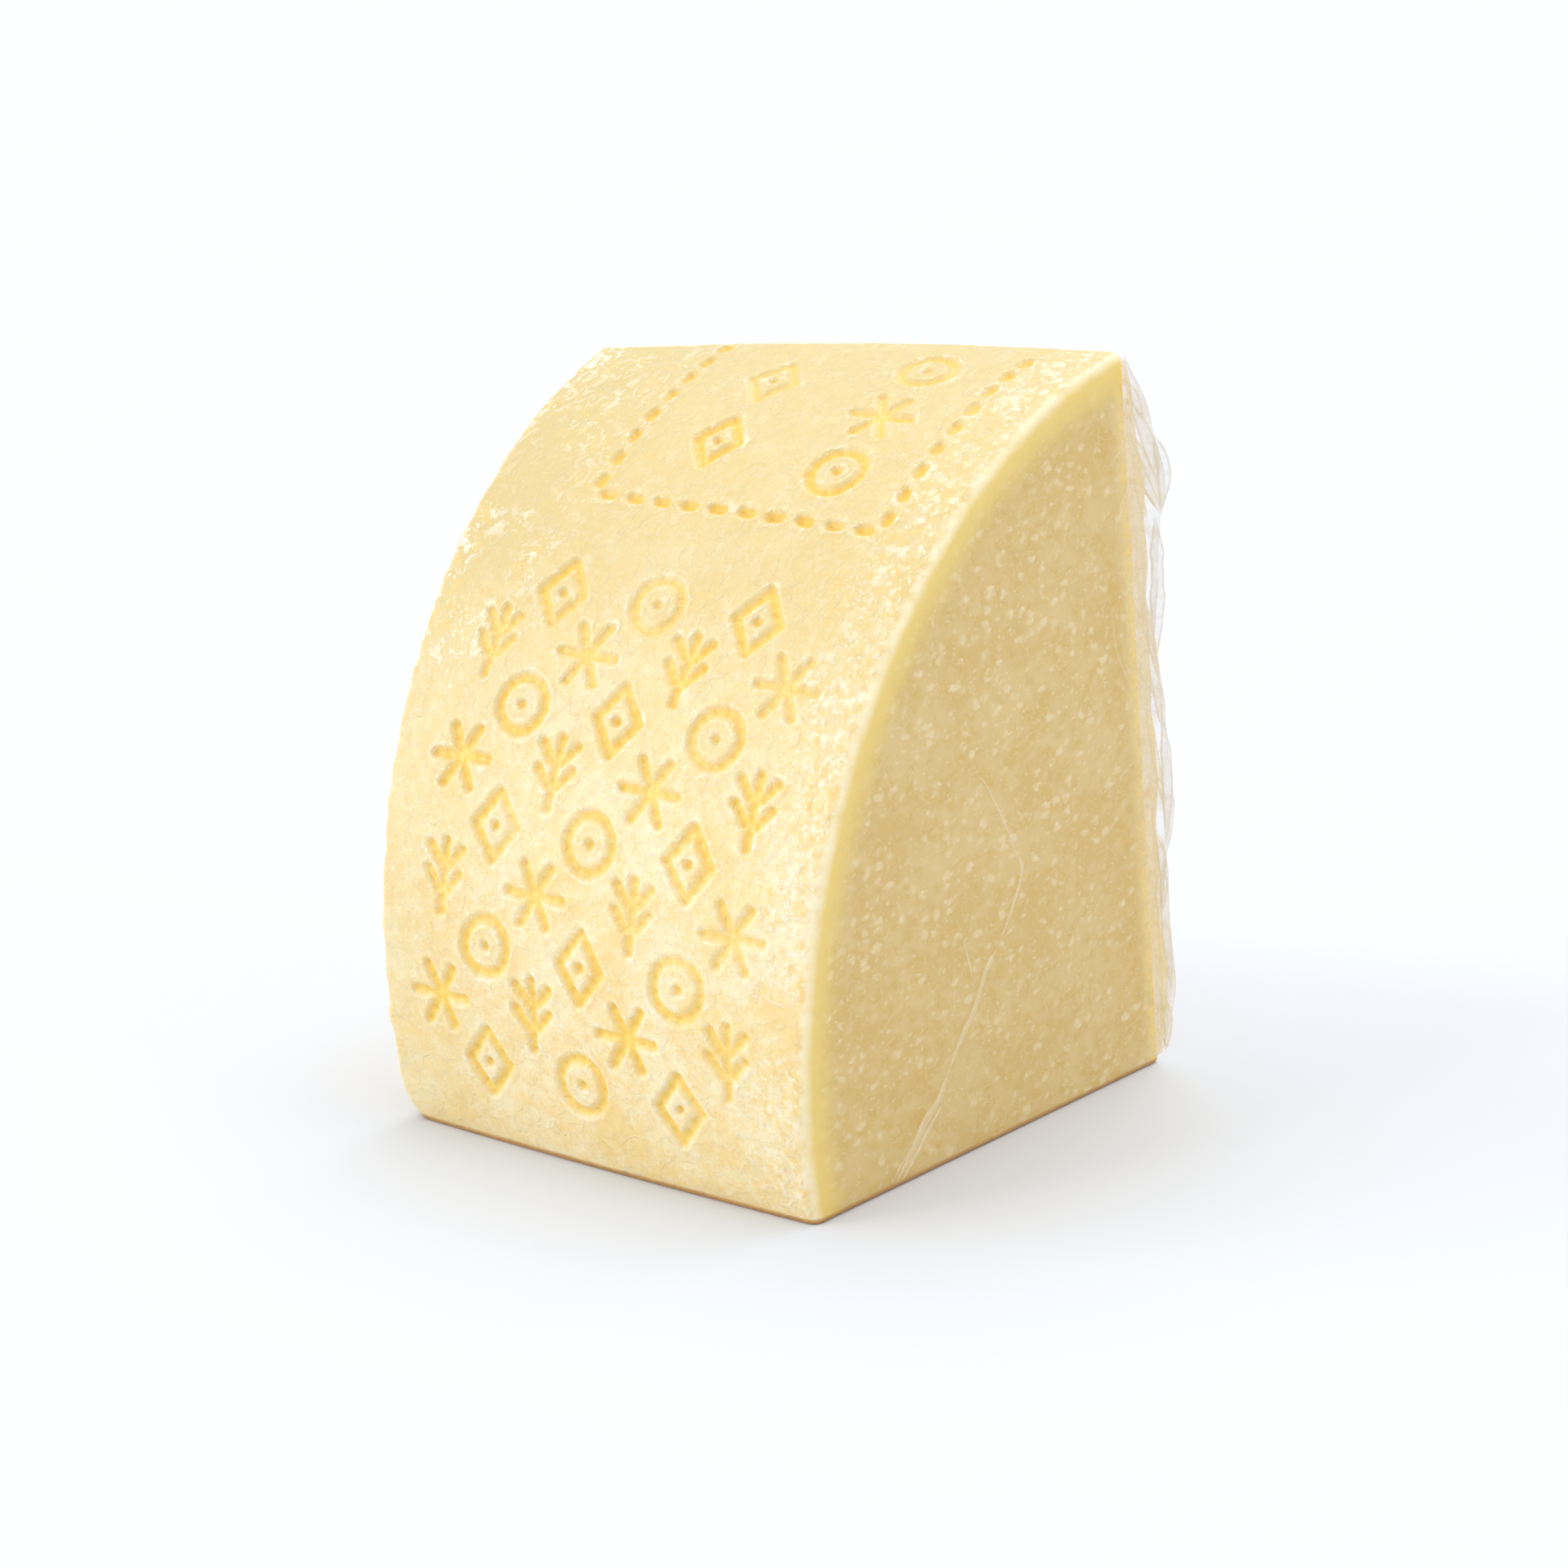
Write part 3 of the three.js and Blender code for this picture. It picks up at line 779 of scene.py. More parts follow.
# Standoff of the gathered film from the corner of the cheese: height and standoff in millimetres
GATHERED = (
    (3, 0.9), (9, 3.0), (18, 4.9), (26, 5.0), (41, 4.3), (54, 4.4), (66, 6.2), (74, 6.8), (84, 6.3),
    (98, 5.6), (112, 4.3), (120, 4.4), (128, 5.6), (139, 6.4), (146, 7.5), (151, 8.8), (157, 8.6),
    (163, 7.0), (169, 5.6), (174, 4.6), (178, 3.4), (181, 2.0), (184, 0.8),
)
GATHER_ROWS = 190
GATHERED_STEPS = 400  # points of the curve through the standoffs
GATHER_COUNTS = (26, 18, 110, 8, 8)  # columns along each stretch of the film's path


def gathered_film(wedge, sizes):
    """The film that is gathered over the back and its right corner: two layers with air between them.

    Both layers follow the film's path. A layer's standoff is the gathered film's own at the corner times
    the layer's share, made uneven by noise, and fades along the back; tall facets of a crumpled sheet and
    soft folds are added. The outer layer stays outside the inner one. The top falls towards the far corner
    and is ragged. The haze is stronger near the corner, over the back and along creases, and fades at the
    top and at both ends of the path. Returns points, triangles and attributes.
    """
    crossed = np.concatenate([
        np.zeros(GATHER_COUNTS[0] + GATHER_COUNTS[1]), np.linspace(0, 1, GATHER_COUNTS[2]),
        np.ones(GATHER_COUNTS[3] + GATHER_COUNTS[4]),
    ])
    columns = np.arange(len(crossed))
    low = film_box[0, 2] - cheese_box[0, 2]
    top = film_box[1, 2] - cheese_box[0, 2] + sizes.top_rise - sizes.top_fall * crossed
    top = top - 5 * MM * rough_noise(columns, 0 * columns, 9, 2, 201) * step(crossed, 0, 0.1)
    part = np.linspace(0, 1, GATHER_ROWS)[:, None]
    high = low + (top - low) * part
    flaps = (sizes.right_flap, sizes.left_flap)
    base, angles, away = film_path(wedge, high, GATHER_COUNTS, flaps)
    profile = smooth_curve(np.array(GATHERED) * MM, GATHERED_STEPS)
    corner = np.interp(high, profile[:, 0], profile[:, 1])
    on_side = 1 - step(-away, 1 * MM, 0.8 * sizes.right_flap)
    over_back = np.exp(-np.maximum(away, 0) / (9 * MM))
    near_corner = np.exp(-((away / (10 * MM)) ** 2))
    far = 1 - step(crossed, 0.90, 0.99)
    direction = np.stack([np.cos(angles), np.sin(angles)], -1)
    shown = 1 - step(-away, 3 * MM, 0.75 * sizes.right_flap)
    shown = shown * (1 - step(part, 0.90, 0.97) * step(-away, 0, 2 * MM)) * (1 - step(part, 0.985, 1.0))
    tail = np.maximum(columns - (len(columns) - 1 - GATHER_COUNTS[4]), 0) / GATHER_COUNTS[4]
    shown = shown * (1 - step(tail, 0.1, 0.8))
    over = step(away, 8 * MM, 30 * MM)

    def layer(part_of, seed, veiled):
        """Standoff and haze of one layer, whose standoff is part_of the gathered film's own."""
        tall, crease, value = crumpled(away + 0.2 * high, high * 0.26, 6.5 * MM, seed)
        small, fine_crease, _ = crumpled(away - 0.1 * high, high * 0.4, 3.4 * MM, seed + 10)
        folds = rough_noise(away + 0.2 * high, high * 0.2, 15 * MM, 3, seed + 20)
        uneven = 0.7 + 0.6 * rough_noise(away * 0.3, high, 22 * MM, 2, seed + 30)
        standoff = np.minimum(part_of * uneven, 1) * corner * on_side * over_back
        facets = 1.5 * MM * (tall - 0.55) * near_corner * on_side * step(corner, 1 * MM, 4 * MM)
        draped = (2.4 * MM * folds + 1.0 * MM * tall) * step(away, 2 * MM, 14 * MM) * far
        standoff = standoff + facets + draped
        standoff = np.maximum(standoff, 0) + sizes.gap + 0.3 * MM * small
        creased = np.maximum((0.26 + 0.12 * over) * crease, (0.10 + 0.05 * over) * fine_crease)
        veil = (veiled + 0.05 * over) * (0.55 + 0.9 * value)
        return standoff, (veil + creased) * shown

    outer, haze_outer = layer(1.4, 211, 0.05 + 0.07 * near_corner)
    inner, haze_inner = layer(0.50, 251, 0.05 + 0.36 * near_corner)
    outer = np.maximum(outer, inner + sizes.thickness)

    def face(standoff):
        """Points at a standoff from the path, square to it."""
        return np.concatenate([base + direction * standoff[..., None], high[..., None]], axis=-1)

    def both(first, second):
        """Values of the outer and the inner layer, in the order of the closed sheet's points."""
        return np.concatenate([first, second[:, ::-1]], axis=1).ravel()

    points, faces = closed_sheet(face(outer), face(inner))
    # Painted reflection: warmth is how much of the cheese's yellow tints the haze, more on the inner layer
    # and low down
    low_down = step(high, 90 * MM, 20 * MM)
    values = {
        "haze": both(haze_outer, haze_inner),
        "warm": both(0.10 + 0.60 * low_down, 0.80 + 0.20 * low_down),
        "shown": both(shown, shown),
    }
    return points, faces, values


def beside_corner(wedge, away, high, lift, turn):
    """A place on the film beside the right back corner.

    Up to the corner the film lies on the waves of the right side, and beyond it runs out in the
    direction turn. The bend is a hyperbola. lift moves the place outwards, square to the film.
    """
    bend = 1.5 * MM
    out = (away + np.hypot(away, bend)) / 2
    x = right_side(wedge, high)
    corner_y = back_foot(wedge, x) - np.tan(wedge.back_lean) * high
    y = corner_y + away - out
    x = x + cut_wave(wedge, x, y, high, 1)
    beyond = step(away, -1 * MM, 2 * MM)
    return np.stack([
        x + out * np.cos(turn) + lift * (1 - beyond + beyond * np.sin(turn)),
        y + out * np.sin(turn) - lift * beyond * np.cos(turn),
        high,
    ], axis=-1)


def leaf(wedge, sizes, knots, half, turn, lift, veiled, warm, columns=15, rimmed=0.36):
    """A long narrow pleat of film, pointed at both ends: points, triangles and attributes.

    Its spine is a smooth curve through knots, in (away, high). Half its width follows the root of a
    sine along the spine. Its haze is veiled in the middle, rimmed along both rims, and none at its very
    edge. It bulges outwards by a part of its width, and shallow noise makes it uneven. knots, half and
    lift are in millimetres.
    """
    knots = np.array(knots) * MM
    run = np.linalg.norm(np.diff(knots, axis=0), axis=-1).sum()
    rows = int(np.clip(run / (0.9 * MM), 14, 110))
    spine = smooth_curve(knots, rows)
    tangent = np.gradient(spine, axis=0)
    tangent /= np.linalg.norm(tangent, axis=-1, keepdims=True)
    aside = np.stack([tangent[:, 1], -tangent[:, 0]], -1)
    along = np.linspace(0, 1, rows)[:, None]
    over = np.sin(np.linspace(-1, 1, columns) * np.pi / 2)
    uneven = 0.75 + 0.5 * rough_noise(along * run, 0 * along, 6 * MM, 2, round(1000 * abs(knots).sum()))
    wide = half * MM * np.maximum(np.sin(np.pi * along) ** 0.7 * uneven, 0.02)
    place = spine[:, None] + aside[:, None] * (over * wide)[..., None]
    away, high = place[..., 0], np.maximum(place[..., 1], 0.6 * MM)
    wavy = 0.35 * MM * (rough_noise(away, high * 0.4, 2.5 * MM, 2, 301) - 0.5)
    height = lift * MM + 0.3 * wide * (1 - over**2) + wavy * (1 - over**2)
    inwards = (1 - np.abs(over)) * wide
    rim = np.exp(-(((inwards - 0.36 * MM) / (0.22 * MM)) ** 2))
    edge = step(inwards, 0, 0.3 * MM)
    faded = step(along, 0, 0.16) * step(1 - along, 0, 0.16)
    haze = np.clip(veiled * edge + rimmed * rim, 0, 1) * faded
    outer = beside_corner(wedge, away, high, height + sizes.thickness / 2, turn)
    inner = beside_corner(wedge, away, high, height, turn)
    points, faces = closed_sheet(outer, inner)
    haze = np.concatenate([haze, haze[:, ::-1]], axis=1).ravel()
    # Painted reflection: warm is how much of the cheese's yellow tints the haze
    values = {"haze": haze, "warm": np.full(haze.shape, warm), "shown": np.minimum(1, 15 * rimmed * haze)}
    return points, faces, values


def joined(pieces):
    """Several sheets as one mesh."""
    starts = np.cumsum([0] + [len(points) for points, _, _ in pieces])
    points = np.concatenate([points for points, _, _ in pieces])
    faces = np.concatenate([faces + start for (_, faces, _), start in zip(pieces, starts)])
    values = {key: np.concatenate([values[key] for _, _, values in pieces]) for key in pieces[0][2]}
    return points, faces, values


# Pleats beside the corner: knots in millimetres, half width, turn in degrees, lift, haze and warmth, the
# share of the cheese's yellow painted into the haze as a reflection
PLEATS = (
    (((6.0, 167), (8.2, 157), (6.8, 146)), 1.7, 38, 0.9, 0.16, 0.0),
    (((-1.8, 169), (2.8, 159), (7.4, 146)), 2.6, 34, 0.6, 0.22, 0.45),
    (((1.5, 173), (4.6, 165), (7.0, 154)), 2.0, 44, 0.3, 0.14, 0.2),
    (((-0.8, 161), (1.8, 152), (3.6, 145)), 1.2, 30, 1.0, 0.12, 0.8),
    (((5.6, 147), (5.4, 130), (4.0, 108)), 1.8, 40, 0.8, 0.16, 0.1),
    (((-0.8, 136), (2.1, 120), (5.0, 103)), 1.4, 32, 0.5, 0.18, 0.7),
    (((2.2, 124), (3.4, 107), (5.0, 90)), 1.4, 46, 0.4, 0.13, 0.6),
    (((0.1, 103), (2.3, 87), (4.6, 69)), 1.3, 33, 0.8, 0.18, 0.8),
    (((4.9, 97), (5.4, 79), (4.4, 60)), 1.5, 41, 0.9, 0.15, 0.15),
    (((0.9, 82), (1.5, 60), (1.8, 37)), 1.0, 36, 0.5, 0.16, 0.9),
    (((1.5, 66), (3.5, 54), (2.6, 41)), 1.3, 30, 0.9, 0.15, 0.4),
    (((3.6, 59), (3.2, 40), (4.0, 19)), 1.4, 43, 0.6, 0.15, 0.3),
    (((0.9, 48), (1.6, 33), (1.2, 18)), 0.9, 38, 1.0, 0.16, 1.0),
    (((0.7, 22), (2.4, 12), (1.5, 3)), 1.6, 35, 0.7, 0.18, 0.7),
    (((-1.6, 180), (1.4, 176), (4.0, 169)), 1.3, 40, 0.7, 0.16, 0.2),
    (((-6.3, 147), (-2.6, 150.5), (1.1, 153.5)), 1.5, 50, 0.4, 0.13, 0.7),
    (((-3.6, 124), (-2.2, 129), (0.4, 133.8)), 1.2, 50, 0.4, 0.12, 0.8),
    (((-2.4, 92), (-0.6, 104), (0.6, 116)), 0.9, 45, 0.4, 0.12, 0.9),
)

CREASE_TURN = np.radians(37)  # in plan, beyond the corner
# Creases: knots in millimetres, half width and haze
CREASES = (
    (((-4.3, 176), (0.2, 166), (4.0, 156.5), (7.6, 146.5)), 0.40, 0.25),
    (((-1.4, 160.3), (2.6, 153), (7.0, 146)), 0.40, 0.25),
    (((-1.6, 160.3), (0.4, 161), (1.9, 160.6)), 0.35, 0.3),
    (((0, 166), (-5, 162), (-10.9, 158)), 0.35, 0.12),
    (((-1.2, 160), (0.3, 154), (2.1, 148.5), (3.5, 145.5)), 0.38, 0.25),
    (((-6.0, 135.4), (-1.7, 135), (1.4, 134.4)), 0.40, 0.3),
    (((-1.8, 134.6), (-1.4, 138), (-0.4, 141.5)), 0.35, 0.25),
    (((-0.8, 133.7), (0.1, 128.7), (2.1, 118), (4, 111), (5.2, 104.3)), 0.38, 0.22),
    (((-3.7, 133.7), (-5, 124.5), (-2.8, 119.6)), 0.32, 0.14),
    (((2.5, 140), (2.0, 133), (2.1, 121.7), (2.6, 116), (2.2, 107.7)), 0.38, 0.25),
    (((-3.5, 148.7), (-5.2, 147.6), (-7.0, 145.5)), 0.35, 0.2),
    (((0.1, 100.7), (1.0, 92.6), (2.3, 85.4), (3.0, 78.8), (4.2, 76.5), (4.6, 70)), 0.40, 0.25),
    (((0.9, 80.5), (1.6, 74), (1.3, 66), (1.7, 52), (1.8, 37.6)), 0.38, 0.22),
    (((1.5, 65), (3.6, 61), (4.0, 55.5), (3.1, 49), (2.5, 41)), 0.38, 0.25),
    (((-0.9, 23), (0.9, 19), (0.4, 9.3), (1.6, 5.3), (3.2, 4.5)), 0.40, 0.25),
    (((-12.8, 127.5), (-10.5, 113.7), (-4.8, 102.3)), 0.32, 0.10),
    (((-0.1, 132.8), (1.3, 120), (1.2, 105.5), (2.2, 89.4)), 0.32, 0.15),
    (((-23, 77.4), (-13, 80.5), (-4, 84)), 0.35, 0.10),
    (((-118, 0.8), (-110.5, 6.5), (-103.4, 13.5), (-97.3, 17.6), (-92.9, 23.5)), 1.6, 0.30),
    (((-115.5, 0.8), (-109, 5.6), (-102, 11.5), (-95, 16.8)), 0.75, 0.40),
    (((-94.5, 21.5), (-86.4, 30.5), (-80.3, 36.6), (-74.6, 45), (-68.3, 50)), 1.0, 0.24),
    (((-71, 47.5), (-62.6, 57.3), (-59, 62), (-57.3, 67.7), (-60.4, 73.6)), 0.70, 0.18),
    (((-57.8, 66), (-60.4, 73.6), (-63.4, 80.4), (-68.5, 88.9), (-72.9, 94.2)), 0.50, 0.10),
    (((-83.5, 55.4), (-81.5, 49), (-80.2, 43)), 0.45, 0.10),
    (((-119.5, 1.0), (-113.5, 6), (-107, 10)), 0.45, 0.18),
)
FINE_CREASES = 30  # small ones scattered over the right side
UNCREASED = 16 * MM  # depth under the rind without them


def fine_creases(wedge, sizes):
    """Small faint creases scattered over the right side, each along a bent line of random slant."""
    random = np.random.default_rng(401)
    found = []
    while len(found) < FINE_CREASES:
        away, high = -random.uniform(6, 120), random.uniform(8, 150)
        y = (wedge.back_foot_y - np.tan(wedge.back_lean) * high * MM) + away * MM
        if under_rind(wedge, 0, y, high * MM) > UNCREASED:
            slant, run = random.uniform(0, np.pi), random.uniform(2, 6)
            ahead = np.array([np.cos(slant), np.sin(slant)]) * run
            bent = np.array([-ahead[1], ahead[0]]) * random.uniform(-0.35, 0.35)
            middle = np.array([away, high])
            knots = (middle - ahead, middle + bent, middle + ahead)
            haze = random.uniform(0.04, 0.16)
            half = random.uniform(0.2, 0.5)
            found.append(leaf(
                wedge, sizes, knots, half, turn=0, lift=0.16, veiled=haze, warm=1.0, columns=7, rimmed=0
            ))
    return found


# Materials


class Field:
    """A number that varies over a surface, as a socket. Python's signs add the Math nodes."""

    def __init__(self, finish, socket):
        self.finish = finish
        self.socket = socket

    def math(self, operation, *terms):
        """A Math node's result."""
        node = self.finish.node("ShaderNodeMath", {"operation": operation}, dict(enumerate(terms)))
        return Field(self.finish, node.outputs[0])

    def __add__(self, other):
        return self.math("ADD", self, other)

    def __sub__(self, other):
        return self.math("SUBTRACT", self, other)

    def __rsub__(self, other):
        return self.math("SUBTRACT", other, self)

    def __mul__(self, other):
        return self.math("MULTIPLY", self, other)

    def __truediv__(self, other):
        return self.math("DIVIDE", self, other)

    def __pow__(self, other):
        return self.math("POWER", self, other)

    __radd__ = __add__
    __rmul__ = __mul__

    def most(self, other):
        """The larger of two numbers."""
        return self.math("MAXIMUM", self, other)

    def step(self, low, high, start=0.0, end=1.0):
        """A smooth step from start, below low, to end, above high."""
        settings = {"interpolation_type": "SMOOTHSTEP"}
        ends = {"Value": self, "From Min": low, "From Max": high, "To Min": start, "To Max": end}
        return Field(self.finish, self.finish.node("ShaderNodeMapRange", settings, ends).outputs[0])


class Finish:
    """A node material while it is made."""

    def __init__(self, name):
        self.material = bpy.data.materials.new(name)
        self.material.use_nodes = True
        self.tree = self.material.node_tree
        self.tree.nodes.clear()
        self.place = self.node("ShaderNodeTexCoord").outputs["Object"]

    def node(self, kind, settings=None, sockets=None):
        """Adds a node: first its settings, then the values or links of its sockets."""
        node = self.tree.nodes.new(kind)
        for key, value in (settings or {}).items():
            setattr(node, key, value)
        for key, value in (sockets or {}).items():
            socket = node.inputs[key]
            if isinstance(value, Field):
                value = value.socket
            if isinstance(value, bpy.types.NodeSocket):
                self.tree.links.new(value, socket)
            elif socket.type == "RGBA":
                socket.default_value = (*value, 1.0)
            else:
                socket.default_value = value
        return node

    def attribute(self, name):
        """A number kept on the mesh's points."""
        return Field(self, self.node("ShaderNodeAttribute", {"attribute_name": name}).outputs["Fac"])

    def vector(self, operation, *terms, scale=None):
        """A Vector Math node."""
        sockets = dict(enumerate(terms)) | ({} if scale is None else {"Scale": scale})
        return self.node("ShaderNodeVectorMath", {"operation": operation}, sockets).outputs[0]

    def noise_node(self, size, detail, place, distortion=0.0):
        """A Noise Texture node with features of the given size."""
        sockets = {"Vector": place, "Scale": 1 / size, "Detail": detail, "Distortion": distortion}
        return self.node("ShaderNodeTexNoise", {}, sockets)

    def noise(self, size, detail=2.0, place=None, distortion=0.0):
        """Cloudy noise with features of the given size, from 0 to 1."""
        return Field(self, self.noise_node(size, detail, place or self.place, distortion).outputs[0])

    def cells(self, size, place):
        """Scattered cells of the given size: the distance from the nearest centre, and a random number."""
        outputs = self.node("ShaderNodeTexVoronoi", {}, {"Vector": place, "Scale": 1 / size}).outputs
        return Field(self, outputs["Distance"]), Field(self, outputs["Color"])

    def mix(self, factor, first, second):
        """The first colour where factor is 0 and the second where it is 1."""
        node = self.node("ShaderNodeMix", {"data_type": "RGBA"}, {0: factor, 6: first, 7: second})
        return node.outputs[2]

    def bump(self, height, distance, strength=1.0):
        """A bumped normal."""
        sockets = {"Height": height, "Distance": distance, "Strength": strength}
        return self.node("ShaderNodeBump", {}, sockets).outputs[0]

    def done(self, shader):
        """The material, with its shader at its output."""
        self.node("ShaderNodeOutputMaterial", {}, {"Surface": shader})
        return self.material


class Grounds:
    """The noises that rind and paste share. Lengths along the depth of the wedge are drawn out.

    The cells are bent by a noise of their own, so that their outlines are uneven.
    """

    def __init__(self, finish):
        drawn = finish.vector("MULTIPLY", finish.place, (1.0, 0.64, 1.0))
        shift = finish.noise_node(2.2 * MM, 1.0, drawn)
        moved = finish.vector("SUBTRACT", shift.outputs["Color"], (0.5, 0.5, 0.5))
        warped = finish.vector("ADD", drawn, finish.vector("SCALE", moved, scale=2.4 * MM))
        self.clouds = finish.noise(17 * MM, 3, drawn)
        self.mottle = finish.noise(3.4 * MM, 3, drawn)
        self.streaks = finish.noise(4.2 * MM, 5, drawn, 1.6)
        self.pores = finish.noise(0.8 * MM, 1, drawn)
        self.large, self.large_kind = finish.cells(2.9 * MM, warped)
        self.small, self.small_kind = finish.cells(1.35 * MM, warped)


def rind_look(finish, colours, grounds):
    """Colour of the rind: mottled cream with golden pricks, which hold painted shade, and a lace of white
    flecks and smears, partly real and partly painted glints and sheen of the clinging film.

    The flecks lie close together on the rough parts, with amber between them, and are few elsewhere; along
    the lips of the grooves there are more of them, as painted glints. Returns the colour and how white it
    is.
    """
    groove = finish.attribute("groove")
    lip = finish.attribute("lip")
    flake = finish.attribute("flake")
    pebble = finish.attribute("pebble")
    cloudy = (grounds.clouds * 0.45 + grounds.mottle * 0.3 + grounds.pores * 0.25).step(0.38, 0.60)
    look = finish.mix(cloudy, colours.rind_pale, colours.rind_warm)
    # Painted shade: the rind is darker high up and near the left side, where more light falls
    look = finish.mix(finish.attribute("painted_shade") * 0.8, look, colours.rind_shaded)
    spots = pebble * 0.35 + flake * 0.55 + grounds.clouds.step(0.52, 0.68) * 0.3
    look = finish.mix(grounds.mottle.step(0.50, 0.64) * spots, look, colours.amber)
    # Partly painted shade: the deeper the groove, the more gold, standing in for the shade in the hollows
    look = finish.mix(groove.step(0.03, 0.95) * 0.84, look, colours.prick)
    # White flecks, blobs and lace: partly real, partly painted glints and sheen, with more glints along the
    # lips of the grooves
    flecks_and_glints = (1 - grounds.small.step(0.16, 0.44)) * grounds.small_kind.step(0.30, 0.60)
    blobs = (1 - grounds.large.step(0.20, 0.52)) * grounds.large_kind.step(0.40, 0.62)
    lace_and_sheen = grounds.streaks.step(0.54, 0.63)
    white = flecks_and_glints * (pebble * 0.45 + flake * 0.45 + lip * 0.35 + 0.12)
    white = white.most(blobs * pebble * 0.55).most(lace_and_sheen * (flake * 0.7 + pebble * 0.30 + lip * 0.4 + 0.10))
    white = white * (1 - groove.step(0.15, 0.6) * 0.8)
    return finish.mix(white, look, colours.wax_and_glints), white


def paste_look(finish, colours, grounds):
    """Colour of the cut faces: a granular tan paste, yellow under the rind and at the back."""
    below = finish.attribute("below")
    rear = finish.attribute("rear")
    cloudy = (grounds.clouds * 0.5 + grounds.mottle * 0.5).step(0.40, 0.60)
    look = finish.mix(cloudy, colours.paste, colours.paste_deep)
    blobs = (1 - grounds.large.step(0.16, 0.50)) * grounds.large_kind.step(0.42, 0.72)
    small = (1 - grounds.small.step(0.14, 0.42)) * grounds.small_kind.step(0.50, 0.76)
    curls = 1 - ((grounds.streaks - 0.5) ** 2 * 900.0).step(0.0, 1.0)
    grains = blobs * 0.60 + small * 0.48 + curls * grounds.mottle.step(0.46, 0.62) * 0.30
    look = finish.mix(grains, look, colours.grain)
    specks = (1 - grounds.large.step(0.04, 0.10)) * (1 - grounds.large_kind.step(0.06, 0.08))
    look = finish.mix(specks * 0.6, look, colours.speck)
    ragged = below + grounds.mottle * 3.0 - 1.5
    look = finish.mix(1 - ragged.step(2.5, 13.0), look, colours.band)
    # Pale rim along the rounded edge: partly its cream, partly a painted highlight
    look = finish.mix(1 - (below + grounds.mottle * 1.6 - 0.8).step(-0.3, 3.4), look, colours.rim)
    slivers = grounds.streaks.step(0.40, 0.58)
    look = finish.mix((1 - rear.step(2.5, 6.5)) * (slivers * 0.5 + 0.4), look, colours.band)
    return finish.mix((1 - rear.step(1.0, 4.0)) * slivers * 0.5, look, colours.prick)


def cheese_finish(colours):
    """Waxy cream rind and granular tan paste, with painted shade, golden brown, where they meet the floor.
    """
    finish = Finish("cheese")
    skin = finish.attribute("skin")
    grounds = Grounds(finish)
    rind, white = rind_look(finish, colours, grounds)
    paste = paste_look(finish, colours, grounds)
    look = finish.mix((skin + grounds.mottle * 0.8 - 0.4).step(0.40, 0.95), paste, rind)
    # Painted shade: golden brown along the base, for the shade where the cheese meets the floor
    height = finish.node("ShaderNodeSeparateXYZ", {}, {"Vector": finish.place}).outputs["Z"]
    foot = 1 - (Field(finish, height) / MM + grounds.mottle * 0.8).step(1.1, 2.3)
    look = finish.mix(foot * 0.92, look, colours.foot)
    relief = grounds.mottle * 0.8 + grounds.pores * 0.22 + grounds.streaks.step(0.5, 0.7) * skin * 0.5
    bumps = finish.bump(relief, 0.45 * MM, 0.8)
    wet = grounds.clouds.step(0.42, 0.60, 0.10, 0.50) * (skin * 0.6 + 0.4)
    principled = finish.node(
        "ShaderNodeBsdfPrincipled",
        {"subsurface_method": "RANDOM_WALK"},
        {
            "Base Color": look,
            "Roughness": grounds.mottle * 0.25 + 0.36 - skin * white * 0.15,
            "Coat Weight": wet,
            "Coat Roughness": 0.17,
            "Subsurface Weight": 0.6,
            "Subsurface Radius": (1.0, 0.62, 0.28),
            "Subsurface Scale": 1.8 * MM,
            "Normal": bumps,
        },
    )
    return finish.done(principled.outputs[0])


def film_finish(colours):
    """Clear film: see-through, hazier where it is creased or seen edge-on, with a sharp gloss. The haze is
    tinted by a painted reflection of the cheese's yellow, as much as each sheet's warmth gives.
    """
    finish = Finish("film")
    haze = finish.attribute("haze")
    shown = finish.attribute("shown")
    facing = Field(finish, finish.node("ShaderNodeLayerWeight", {}, {"Blend": 0.5}).outputs["Facing"])
    ripple = finish.noise(1.6 * MM, 2)
    bumped = finish.bump(ripple, 0.10 * MM, 0.5)
    veil = haze * ripple.step(0.3, 0.7, 0.75, 1.2) + facing**4 * shown * 0.14
    # Painted reflection: the haze takes the cheese's yellow as much as its warmth gives
    tint = finish.mix(finish.attribute("warm"), colours.film_cool, colours.film_tinted_by_cheese)
    clear = finish.node("ShaderNodeBsdfTransparent").outputs[0]
    milky = finish.node("ShaderNodeBsdfDiffuse", {}, {"Color": tint}).outputs[0]
    body = finish.node("ShaderNodeMixShader", {}, {0: veil, 1: clear, 2: milky}).outputs[0]
    gloss = finish.node("ShaderNodeBsdfGlossy", {}, {"Roughness": 0.10, "Normal": bumped}).outputs[0]
    shine = (facing**5 * 0.35 + 0.05) * shown
    return finish.done(finish.node("ShaderNodeMixShader", {}, {0: shine, 1: body, 2: gloss}).outputs[0])


def floor_finish(tint):
    """A plain pale matt floor, with faint clouds."""
    finish = Finish("floor")
    cloudy = finish.noise(0.3, 2).step(0.3, 0.7)
    look = finish.mix(cloudy, tuple(0.995 * part for part in tint), tuple(tint))
    return finish.done(finish.node("ShaderNodeBsdfDiffuse", {}, {"Color": look}).outputs[0])


# Operators


